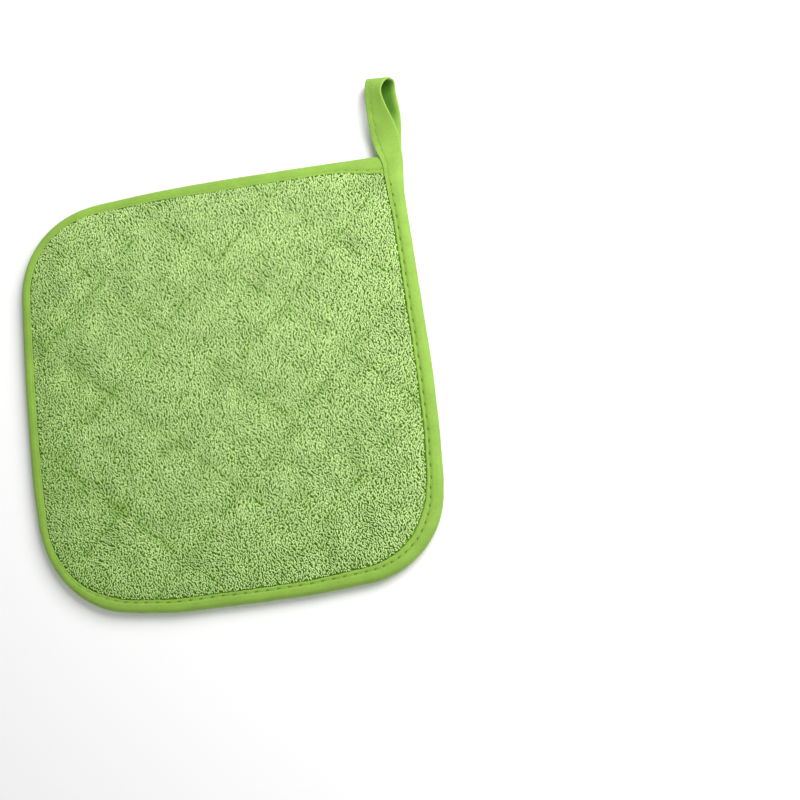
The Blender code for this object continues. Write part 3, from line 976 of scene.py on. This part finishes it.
def crease_depth(points, depth):
    """Creases that run out from the sewn lines, deepest a little way off them."""
    falling, rising = line_counts(points)
    total = np.zeros(len(points))
    for seed, (across, along) in enumerate(((falling, rising), (rising, falling))):
        near = bump_curve(np.abs(off_line(across)) - CREASE_OFF, CREASE_OFF)
        waves = (
            share * np.maximum(0.0, smooth_noise(np.stack([along * often, across * wide], 1), start + seed))
            for share, often, wide, start in CREASES
        )
        total += near * sum(waves)
    broad = smooth_noise(points / 0.012, 2.7)
    return depth * (CREASE_SHARE * total + BROAD_SHARE * np.maximum(0.0, broad))


def silver_back(outline, border, sizes, material):
    """The silver cloth: flat puffs with creases along the sewing."""

    def outer_height(flat):
        creases = crease_depth(flat, sizes.wrinkle_depth) * edge_slope(border, flat)
        return silver_height(border, flat) + creases

    points, faces = pad_cloth(outline, SILVER_RINGS, outer_height, PANEL_PARTING)
    return add_piece("silver_back", points, [group[:, ::-1] for group in faces], material)


# ---- Sewing ----

THREAD_SIDES = 5
THREAD_DIP = 0.0003  # how far a stitch dives at its ends
STITCH_SHARES = np.linspace(0.10, 0.90, 6)  # where a stitch's points are, as shares of its length


def line_through(run, rows, outward):
    """A centre line through points at distances run along it, with an outward vector for each."""

    def centre_line(distances):
        spots, away = (
            np.stack([np.interp(distances, run, column) for column in part.T], 1) for part in (rows, outward)
        )
        return spots, unit(away)

    return centre_line


def stitched(starts, centre_line, stitch, radius):
    """Tubes for the stitches along a line, which gives points and outward vectors at distances along it."""
    distances = starts[:, None] + STITCH_SHARES * stitch
    points, outward = (part.reshape(*distances.shape, 3) for part in centre_line(distances.ravel()))
    sink = 1 - np.sin(pi * (STITCH_SHARES - 0.10) / 0.80) ** 0.5
    points = points + outward * (radius * 0.6 - THREAD_DIP * sink)[None, :, None]
    return tubes(points, radius, outward[:, len(STITCH_SHARES) // 2], THREAD_SIDES, caps=True)


def add_thread(name, seams, stitch, radius, material):
    """The stitches along several seams. A seam is the starts of its stitches and its centre line."""
    points, faces = join([stitched(*seam, stitch, radius) for seam in seams])
    return add_piece(name, points, faces, material)


QUILTING_REACH = 0.15
QUILTING_LINES = range(-4, 5)
QUILTING_LIFT = 0.00005


def quilting_thread(border, sizes, material):
    """The pale stitches of the quilting, on the silver side."""
    stitch = sizes.quilting_stitch
    most = round(QUILTING_REACH / stitch)
    distances = np.arange(-most, most) * stitch
    seams = []
    for angle, spacing, offset in QUILTING:
        along = direction(angle)
        across = crossways(along)
        for number in QUILTING_LINES:

            def centre_line(places, start=across * (offset + spacing * number), along=along):
                flat = start + places[:, None] * along
                height = silver_height(border, flat) + QUILTING_LIFT
                return np.column_stack([flat, height]), np.tile([0.0, 0.0, -1.0], (len(places), 1))

            ends = [centre_line(distances + reach)[0][:, :2] for reach in (0.0, stitch)]
            kept = distances[border.holds(ends[0]) & border.holds(ends[1])]
            if len(kept):
                seams.append((kept, centre_line))
    return add_thread("quilting_thread", seams, stitch, 1.15 * sizes.thread_radius, material)


# ---- Tape ----

THREAD_SINK = 0.0004  # how far the thread lies below the tape where it doesn't show
GROOVE_HALF_WIDTH = 0.00038
FACE_GROOVE_HALF_WIDTH = 0.00055
FACE_GROOVE_SHARE = 0.5  # of the groove on the back, where the sewing shows
TAPE_CROWN = 0.00010
TAPE_EDGE_HEIGHT = 0.0009
TAPE_LIP = 0.0003
LIP_TURN = 0.0001  # how far the lip's last point is set back
LIP_REACH = 0.0004
FULL_TAPE = 0.005  # a narrower tape is slimmer all over
INNER_BULGE = 0.0009
WIDTH_WANDER = 0.00014
STITCH_PULL = 0.00006
NEEDLE_DIP = 0.00007
WAVER = 0.00012
EDGE_WAVER = 0.00008
FOLD_STEPS = 15
INNER_STEPS = 5

# Where the points lie across the tape. On its face they are shares of the sewing's inset up to the sewing,
# and millimetres past it. On its back they are millimetres in from the pad's edge.
LIP_SHARES = np.array([0.0, 0.07, 0.22, 0.45])
INNER_SHARES = np.array([0.30, 0.17, 0.07])
OUTER_MM = np.array([0.0, -0.12, -0.28, -0.5, -0.85])
BACK_MM = np.array([3.3, 4.2, 4.9, 5.3, 5.48, 5.6, 5.72, 5.9, 6.3, 6.7, 7.0, 7.2, 7.3])
BACK_SEAM = 5  # the one of them that is on the sewing


class TapeSection:
    """The folded tape's outline at each station of the pad, as arrays of stations x points.

    depth is the distance in from the pad's edge, height is above the surface, and across is the distance
    along the cloth from the line of sewing. holes says how clearly the needle's holes show.
    """

    def __init__(self, outline, groove, stitch):
        self.outline = outline
        run, sewn, shows = outline.run[:-1], outline.sewn[:-1], outline.shows[:, None]
        count, inset = len(run), outline.inset[:, None]
        wander = smooth_noise(np.stack([run / 0.006, run * 0], 1), 1.7) * WIDTH_WANDER
        wave = np.cos(2 * pi * sewn / stitch) * STITCH_PULL * outline.shows
        width = (outline.face_width + wander + wave)[:, None]
        self.slim = np.minimum(1.0, outline.face_width / FULL_TAPE)[:, None]
        self.seam = width - inset
        self.face_groove = groove * FACE_GROOVE_SHARE * shows
        reach = np.minimum(FOLD_REACH, self.seam - 0.001 * self.slim)
        near = np.concatenate([inset * INNER_SHARES, OUTER_MM * MM * self.slim], 1)
        spread = np.linspace(0, 1, 6)[1:-1]
        far = (self.seam + OUTER_MM[-1] * MM * self.slim) * (1 - spread) + reach * spread
        face_depth = np.concatenate([width - inset * LIP_SHARES, self.seam + near, far], 1)
        turn = np.linspace(pi / 2, -pi / 2, FOLD_STEPS)
        fold_depth = np.where(turn > 0, reach, FOLD_REACH) * (1 - np.cos(turn))
        fold_height = BOUND_THICKNESS / 2 * (1 + np.sin(turn))
        back_depth = BACK_MM * MM
        lift = groove * bump_curve(back_depth - (BACK_WIDTH - STITCH_INSET), GROOVE_HALF_WIDTH)
        rounding = np.maximum(0.0, (back_depth - (BACK_WIDTH - LIP_REACH)) / LIP_REACH) ** 2
        back_height = lift + TAPE_LIP * rounding
        inner_turn = np.linspace(-pi / 2, pi / 2, INNER_STEPS)
        inner_depth = TAPE_EDGE_HEIGHT + INNER_BULGE * (1 - np.cos(inner_turn))
        inner_height = BOUND_THICKNESS / 2 + (BOUND_THICKNESS / 2 - TAPE_EDGE_HEIGHT) * np.sin(inner_turn)
        self.depth = in_rows(
            count,
            *(width - LIP_TURN, face_depth, fold_depth),
            *(back_depth, BACK_WIDTH - LIP_TURN, inner_depth),
        )
        self.height = in_rows(
            count,
            *(BOUND_THICKNESS - TAPE_EDGE_HEIGHT, self.face_top(face_depth, width, reach), fold_height),
            *(back_height, TAPE_EDGE_HEIGHT, inner_height),
        )
        steps = np.hypot(np.diff(self.depth, axis=1), np.diff(self.height, axis=1))
        walk = np.concatenate([np.zeros_like(reach), np.cumsum(steps, axis=1)], 1)
        face_points = face_depth.shape[1]
        face_seam = 1 + len(LIP_SHARES) + len(INNER_SHARES)
        back_seam = 1 + face_points + FOLD_STEPS + BACK_SEAM
        on_face = np.arange(walk.shape[1]) < 1 + face_points + FOLD_STEPS // 2
        self.holes = np.where(on_face, shows, 1.0)
        self.across = np.where(on_face, walk - walk[:, [face_seam]], walk[:, [back_seam]] - walk)
        self.pucker(run, sewn, stitch)

    def face_top(self, depth, width, reach):
        """The height of the tape's face: a crown, the groove of the sewing and a small rounded lip."""
        share = np.clip((depth - reach) / (self.seam - reach), 0, 1)
        crown = TAPE_CROWN * self.slim * np.sin(pi * share)
        groove = self.face_groove * bump_curve(depth - self.seam, FACE_GROOVE_HALF_WIDTH)
        edge = 0.25 * self.outline.inset[:, None]
        rounding = np.maximum(0.0, (depth - (width - edge)) / edge) ** 2
        return BOUND_THICKNESS + crown - groove - TAPE_LIP * rounding

    def pucker(self, run, sewn, stitch):
        """Soft unevenness of the cloth: small dips at the needle's holes and a slow waver."""
        dip = np.cos(2 * pi * sewn / stitch)[:, None] * bump_curve(self.across, 0.0011) * self.holes
        waver = cloth_noise(run / 0.0075, self.across / 0.004, 4.2)
        upper = np.clip(self.height / BOUND_THICKNESS * 2 - 1, -1, 1)
        shift = (-NEEDLE_DIP * dip + WAVER * waver) * upper
        self.height = np.maximum(0.0, self.height + shift)
        self.depth = self.depth + EDGE_WAVER * waver * (1 - np.abs(upper))

    def points(self):
        """The tape's points, a row for each station."""
        columns = []
        for depth, height in zip(self.depth.T, self.height.T):
            flat = self.outline.inside(depth, on_face=height[0] > BOUND_THICKNESS / 2)
            columns.append(np.column_stack([flat, height]))
        return np.stack(columns, 1)


def cloth_noise(along, across, seed):
    """Soft random values over a cloth, from its places along, one for each row, and across."""
    places = np.stack([np.broadcast_to(along[:, None], across.shape), across], 2)
    return smooth_noise(places.reshape(-1, 2), seed).reshape(across.shape)


def edge_tape(outline, sizes, material):
    """The tape folded round the pad's edge, with the groove of its sewing on both sides."""
    section = TapeSection(outline, sizes.tape_groove, sizes.tape_stitch)
    quads, row, column = grid_faces(*section.depth.shape, close_rows=True)
    uv = sweep_uv(outline.sewn, section.across, row, column)
    points, values = section.points().reshape(-1, 3), {"holes": section.holes.ravel()}
    return add_piece("edge_tape", points, [quads], material, values, uv)


def edge_thread(outline, sizes, material):
    """The stitches that hold the tape, on the face and on the back."""
    sewn, stitch = outline.sewn[:-1], sizes.tape_stitch
    drawn_in = sizes.tape_groove * FACE_GROOVE_SHARE * outline.shows + THREAD_SINK * (1 - outline.shows)
    face = outline.inside(outline.face_width - outline.inset)
    back = outline.inside(BACK_WIDTH - STITCH_INSET, on_face=False)
    starts = np.arange(0, outline.sewn[-1] - stitch, stitch)
    seams = []
    for flat, height, up in ((face, BOUND_THICKNESS - drawn_in, 1.0), (back, sizes.tape_groove, -1.0)):
        rows = in_rows(len(sewn), flat, np.reshape(height, (-1, 1)))
        outward = np.tile([0.0, 0.0, up], (len(sewn), 1))
        seams.append((starts, line_through(sewn, rows, outward)))
    return add_thread("edge_thread", seams, stitch, sizes.thread_radius, material)


# ---- Hanging loop ----

LOOP_STEPS_PER_ROW = 14
LOOP_SEAM = 0.0027  # from the left edge to the line of sewing
LOOP_HALF_THICKNESS = 0.00052
LOOP_LIP = 0.00046
LOOP_GROOVE = 0.00008
LOOP_SLIT = 0.0005  # from the left edge to where the folded tape's two layers meet
LOOP_HOLES = 0.25
LOOP_FRONT_ROWS = 7  # of LOOP_EDGES, up to the crown
LOOP_HUGS = 0.079  # the height on the pad up to which the tape lies on the bound edge
LOOP_LEAVES = 0.092
LOOP_CREASE_RUN = 0.0225  # where it buckles a little as it leaves the pad
LOOP_CREASE = 0.00040
LOOP_EDGE_ROUND = 0.00035
LOOP_FOLD_ROUND = 0.0007
# Painted shade inside the loop's bend deepens from this height on the pad, over the fade below it.
LOOP_CURL_SHADE_FROM = 0.1010  # the height on the pad where the inside of the curl begins to darken
LOOP_CURL_SHADE_FADE = 0.0080
LOOP_RISE = (
    # (height on the pad, how far the tape stands above the bound edge)
    (0.064, -0.00010),
    (0.067, 0.00000),
    (0.072, 0.00008),
    (0.079, 0.00025),
    (0.085, 0.00050),
    (0.092, 0.00080),
)

# Where the points lie across the loop's tape, in millimetres: from its left edge, about its sewing and from
# its fold.
LOOP_LIP_MM = np.array([0.0, 0.10, 0.35, 0.9, 1.6, 2.1])
LOOP_SEAM_MM = np.array([-0.35, -0.15, 0.0, 0.15, 0.35, 0.8])
LOOP_FOLD_MM = np.array([0.7, 0.45, 0.25, 0.12, 0.03])
SEAM_POINT = len(LOOP_LIP_MM) + 2  # the one that is on the sewing


def smooth_rail(rows, steps):
    """Points on the smooth curve through the rows."""
    rows = np.array(rows)
    padded = np.vstack([2 * rows[0] - rows[1], rows, 2 * rows[-1] - rows[-2]])
    share = (np.arange(steps) / steps)[:, None]
    parts = []
    for index in range(len(rows) - 1):
        before, start, end, after = padded[index : index + 4]
        slope = (end - before) * share
        bend = (2 * before - 5 * start + 4 * end - after) * share**2
        twist = (3 * start - before - 3 * end + after) * share**3
        parts.append(0.5 * (2 * start + slope + bend + twist))
    return np.vstack([*parts, rows[-1:]])


class LoopTape:
    """The loop's two edges, its direction across and its outward normal at each step.

    lapped fades from 1, where the tape still hugs the bound edge of the pad, to 0 where it leaves it. seams
    and first_stitch say where its sewing runs, once the tape is made.
    """

    def __init__(self):
        self.left, self.right = (
            smooth_rail([row[first : first + 3] for row in LOOP_EDGES], LOOP_STEPS_PER_ROW) * MM
            for first in (0, 3)
        )
        self.width = np.linalg.norm(self.right - self.left, axis=1)
        self.across = unit(self.right - self.left)
        middle = (self.left + self.right) / 2
        self.outward = unit(np.cross(self.across, np.gradient(middle, axis=0)))
        self.run = running_total(np.linalg.norm(np.diff(middle, axis=0), axis=1))
        self.y = middle[:, 1]
        in_front = np.arange(len(middle)) < LOOP_FRONT_ROWS * LOOP_STEPS_PER_ROW
        share = np.clip((LOOP_LEAVES - self.y) / (LOOP_LEAVES - LOOP_HUGS), 0, 1) * in_front
        self.lapped = share**2 * (3 - 2 * share)

    def half_thickness(self, offset):
        """Half the folded tape's thickness at a distance in from its left edge."""
        crown = LOOP_LIP + (LOOP_HALF_THICKNESS - LOOP_LIP) * np.clip((offset - LOOP_SEAM) / 0.0030, 0, 1)
        groove = LOOP_GROOVE * bump_curve(offset - LOOP_SEAM, 0.0005)
        to_fold = np.clip((self.width[:, None] - offset) / LOOP_FOLD_ROUND, 0, 1)
        return (crown - groove) * np.sqrt(1 - (1 - to_fold) ** 2)

    def on_edge(self, outline, offsets, above):
        """Points at those distances from the left edge that lie on the bound edge of the pad, or above it."""
        edge, face, inset = (column[:, None] for column in outline.beside_loop(self.y))
        quarter = pi / 4 * (FOLD_REACH + BOUND_THICKNESS / 2)
        flat = face - FOLD_REACH
        past_seam = (offsets - LOOP_SEAM) / (self.width[:, None] - LOOP_SEAM)
        to_seam = offsets / LOOP_SEAM * inset
        walk = np.where(offsets < LOOP_SEAM, to_seam, inset + past_seam * (flat + quarter - inset))
        turn = np.clip((walk - flat) / quarter, 0, 1) * pi / 2
        depth = np.where(walk < flat, face - walk, FOLD_REACH * (1 - np.sin(turn))) - np.sin(turn) * above
        crown = TAPE_CROWN * np.sin(pi * np.clip((walk - inset) / (flat - inset), 0, 1))
        height = BOUND_THICKNESS / 2 * (1 + np.cos(turn)) + np.cos(turn) * (above + crown)
        return np.stack([edge - depth, np.broadcast_to(self.y[:, None], depth.shape), height], 2)


def hanging_tape(tape, outline, material):
    """The free end of the tape, folded double and sewn near its open edge."""
    width, count = tape.width[:, None], len(tape.width)
    lip, seam, fold = LOOP_LIP_MM * MM, LOOP_SEAM + LOOP_SEAM_MM * MM, LOOP_FOLD_MM * MM
    shares = np.array([0.25, 0.5, 0.75])
    body = seam[-1] * (1 - shares) + (width - fold[0]) * shares
    offsets = in_rows(count, lip, seam, body, width - fold)
    edge_round = np.sqrt(1 - (1 - np.clip(offsets / LOOP_EDGE_ROUND, 0, 1)) ** 2)
    half = tape.half_thickness(offsets) * (0.55 + 0.45 * edge_round)
    waver = cloth_noise(tape.run / 0.008, offsets / 0.005, 6.6)
    crease_run = tape.run[:, None] - LOOP_CREASE_RUN - 0.35 * offsets
    crease = bump_curve(crease_run, 0.0006) * bump_curve(offsets - 0.0045, 0.0030)
    lift = WAVER * waver - LOOP_CREASE * crease
    heights = in_rows(count, half + lift, 0.0, (lift - half)[:, ::-1], 0.0)
    places = in_rows(count, offsets, width, offsets[:, ::-1], LOOP_SLIT)
    sideways = tape.across[:, None, :] * places[:, :, None]
    free = tape.left[:, None, :] + sideways + tape.outward[:, None, :] * heights[:, :, None]
    above = np.interp(tape.y, *zip(*LOOP_RISE))[:, None]
    halfway = (above - LOOP_HALF_THICKNESS) / 2
    buried = np.full_like(offsets, -LOOP_HALF_THICKNESS)
    rises = in_rows(count, above * (0.3 + 0.7 * edge_round), halfway, buried, halfway)
    lapped = tape.lapped[:, None, None]
    points = lapped * tape.on_edge(outline, places, rises) + (1 - lapped) * free
    points[:, :, 2] = np.maximum(points[:, :, 2], 0.0)
    columns = points.shape[1]
    tape.seams = (points[:, SEAM_POINT], points[:, columns - SEAM_POINT - 2])
    tape.first_stitch = np.interp(tape.y[0], outline.points[-80:, 1], outline.sewn[-81:-1])
    quads, row, column = grid_faces(count, columns)
    along = np.append(tape.run, tape.run[-1]) + tape.first_stitch
    uv = sweep_uv(along, places - LOOP_SEAM, row, column)
    caps = [np.arange(columns)[::-1][None], (np.arange(columns) + (count - 1) * columns)[None]]
    holes = LOOP_HOLES + (1 - LOOP_HOLES) * np.clip((LOOP_HUGS - tape.y) / 0.004, 0, 1) * (tape.lapped > 0)
    # Painted shade inside the loop's bend: from the fold's inner side, reaching further in down the back leg.
    reach = 0.0006 + 0.0018 * np.clip((tape.y.max() - tape.y) / 0.0050, 0, 1)[:, None]
    below_fold = np.clip((width - offsets[:, ::-1] - 0.0003) / reach, 0, 1)
    painted_curl_shade = np.zeros((count, columns))
    deepens = np.clip((tape.y - LOOP_CURL_SHADE_FROM) / LOOP_CURL_SHADE_FADE, 0, 1)[:, None]
    painted_curl_shade[:, offsets.shape[1] + 1 : -1] = below_fold * deepens
    values = {"holes": np.repeat(holes, columns), "painted_curl_shade": painted_curl_shade.ravel()}
    faces = [quads, *caps]
    return add_piece("hanging_tape", points.reshape(-1, 3), faces, material, values, uv)


def loop_thread(tape, sizes, material):
    """The stitches along the loop, on both of its sides."""
    stitch = sizes.tape_stitch
    starts = np.arange(stitch - tape.first_stitch % stitch, tape.run[-1] - 2 * stitch, stitch)
    behind = starts[starts > LOOP_CREASE_RUN]
    seams = [
        (shown, line_through(tape.run, line, facing * tape.outward))
        for shown, line, facing in zip((starts, behind), tape.seams, (1.0, -1.0))
    ]
    return add_thread("loop_thread", seams, stitch, sizes.thread_radius, material)


# ---- Stage ----

LIGHTS = (
    # (name, place, size, watts)
    ("key", (0.36, 0.26, 0.49), 0.45, 5.4),
    ("fill", (0.25, -0.50, 0.60), 0.8, 1.0),
)
SKY_STRENGTH = 0.365
FLOOR_REACH = 3.0
FLOOR_LEVEL = -0.00005  # a hair under the pot holder


def add_light(name, place, size, watts):
    """A soft square light that faces the origin."""
    lamp = bpy.data.lights.new(name, "AREA")
    lamp.shape = "SQUARE"
    lamp.size = size
    lamp.energy = watts
    light = add_object(name, lamp)
    light.location = place
    light.rotation_euler = (-Vector(place)).to_track_quat("-Z", "Y").to_euler()


def add_camera():
    """The camera at the photograph's viewing angle."""
    data = bpy.data.cameras.new("Camera")
    data.sensor_width = CAMERA_SENSOR
    data.lens = CAMERA_LENS
    data.clip_start = 0.01
    camera = add_object("Camera", data)
    ahead, up = Vector(CAMERA_AHEAD), Vector(CAMERA_UP)
    turn = Matrix((ahead.cross(up), up, -ahead)).transposed()
    camera.matrix_world = Matrix.Translation(Vector(CAMERA_PLACE) + Vector(PAD_CENTRE)) @ turn.to_4x4()
    bpy.context.scene.camera = camera


def add_floor(tint):
    """A wide plain surface."""
    mesh = bpy.data.meshes.new("floor")
    signs = ((-1, -1), (1, -1), (1, 1), (-1, 1))
    corners = [(x * FLOOR_REACH, y * FLOOR_REACH, FLOOR_LEVEL) for x, y in signs]
    mesh.from_pydata(corners, [], [(0, 1, 2, 3)])
    pale = Finish("Pale Floor", 0.85, specular=0.1)
    pale.set(pale.shader, "Base Color", pale.shaded(rgba(tint), pale.drift(0.4, 0.01)))
    mesh.materials.append(pale.material)
    floor = add_object("floor", mesh)


def add_sky():
    """An even white surround that fills the shadows."""
    world = bpy.data.worlds.new("Studio")
    world.use_nodes = True
    surround = world.node_tree.nodes["Background"]
    surround.inputs["Color"].default_value = (1.0, 1.0, 1.0, 1.0)
    surround.inputs["Strength"].default_value = SKY_STRENGTH
    bpy.context.scene.world = world


# ---- Operators ----

FINE_SPACING = 0.00075
COARSE_SPACING = 0.0017
PILE_CLEAR = 0.00024  # of the tape
PILE_CLEAR_SEWN = 0.00020  # and as much again where the sewing shows


class Workshop:
    """The outlines and borders that the pieces share."""

    def __init__(self):
        self.fine = Outline(FINE_SPACING)
        self.coarse = Outline(COARSE_SPACING)
        pile_start = self.fine.face_width + PILE_CLEAR + PILE_CLEAR_SEWN * self.fine.shows
        self.face_border = Border(self.fine.inside(pile_start))
        self.back_border = Border(self.fine.inside(BACK_WIDTH + GAP, on_face=False))


@cache
def workshop():
    return Workshop()


def chosen(context):
    return context.scene.pot_holder_sizes, context.scene.pot_holder_colours


class MakeStage(bpy.types.Operator):
    """Adds the floor, the lights and the camera"""

    bl_idname = "pot_holder.stage"
    bl_label = "Stage"

    def execute(self, context):
        context.scene.view_settings.view_transform = "Standard"
        add_camera()
        add_sky()
        add_floor(context.scene.pot_holder_colours.floor)
        for light in LIGHTS:
            add_light(*light)
        return {"FINISHED"}


class MakeTerryFace(bpy.types.Operator):
    """Lays the terry face: its ground cloth and its pile"""

    bl_idname = "pot_holder.terry_face"
    bl_label = "Terry Face"

    def execute(self, context):
        sizes, colours = chosen(context)
        shop = workshop()
        ground = terry_ground(shop.coarse, shop.face_border, ground_material(colours))
        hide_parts("terry_panel")
        pile = terry_pile(shop.face_border, sizes, pile_material(colours))
        return {"FINISHED"}


class MakeSilverBack(bpy.types.Operator):
    """Lays the silver back cloth and its quilting thread"""

    bl_idname = "pot_holder.silver_back"
    bl_label = "Silver Back"

    def execute(self, context):
        sizes, colours = chosen(context)
        shop = workshop()
        cloth = silver_back(shop.coarse, shop.back_border, sizes, silver_material(sizes, colours))
        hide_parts("silver_panel")
        pale = thread_material("Pale Thread", colours.quilting_thread)
        thread = quilting_thread(shop.back_border, sizes, pale)
        return {"FINISHED"}


class MakeEdgeTape(bpy.types.Operator):
    """Folds the tape round the edge and sews it"""

    bl_idname = "pot_holder.edge_tape"
    bl_label = "Edge Tape"

    def execute(self, context):
        sizes, colours = chosen(context)
        outline = workshop().fine
        tape = edge_tape(outline, sizes, lime_tape(sizes, colours))
        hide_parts("edge_binding")
        thread = edge_thread(outline, sizes, green_thread(colours))
        return {"FINISHED"}


class MakeHangingLoop(bpy.types.Operator):
    """Folds the tape's free end into the hanging loop and sews it"""

    bl_idname = "pot_holder.hanging_loop"
    bl_label = "Hanging Loop"

    def execute(self, context):
        sizes, colours = chosen(context)
        tape = LoopTape()
        piece = hanging_tape(tape, workshop().fine, lime_tape(sizes, colours))
        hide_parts("hanging_loop")
        thread = loop_thread(tape, sizes, green_thread(colours))
        return {"FINISHED"}


STEPS = (MakeStage, MakeTerryFace, MakeSilverBack, MakeEdgeTape, MakeHangingLoop)


class PotHolderPanel(bpy.types.Panel):
    """Lists the steps and their sizes and colours"""

    bl_idname = "VIEW3D_PT_pot_holder"
    bl_label = "Pot Holder"
    bl_space_type = "VIEW_3D"
    bl_region_type = "UI"
    bl_category = "Pot Holder"

    def draw(self, context):
        for step in STEPS:
            self.layout.operator(step.bl_idname)
        for group in chosen(context):
            box = self.layout.box()
            for title in group.bl_rna.properties.keys():
                if title not in ("rna_type", "name"):
                    box.prop(group, title)


CLASSES = (PotHolderSizes, PotHolderColours, *STEPS, PotHolderPanel)


def register():
    for kind in CLASSES:
        bpy.utils.register_class(kind)
    bpy.types.Scene.pot_holder_sizes = bpy.props.PointerProperty(type=PotHolderSizes)
    bpy.types.Scene.pot_holder_colours = bpy.props.PointerProperty(type=PotHolderColours)


def unregister():
    del bpy.types.Scene.pot_holder_colours
    del bpy.types.Scene.pot_holder_sizes
    for kind in reversed(CLASSES):
        bpy.utils.unregister_class(kind)


def main():
    register()
    bpy.ops.pot_holder.stage()
    bpy.ops.pot_holder.terry_face()
    bpy.ops.pot_holder.silver_back()
    bpy.ops.pot_holder.edge_tape()
    bpy.ops.pot_holder.hanging_loop()


if __name__ == "__main__":
    main()
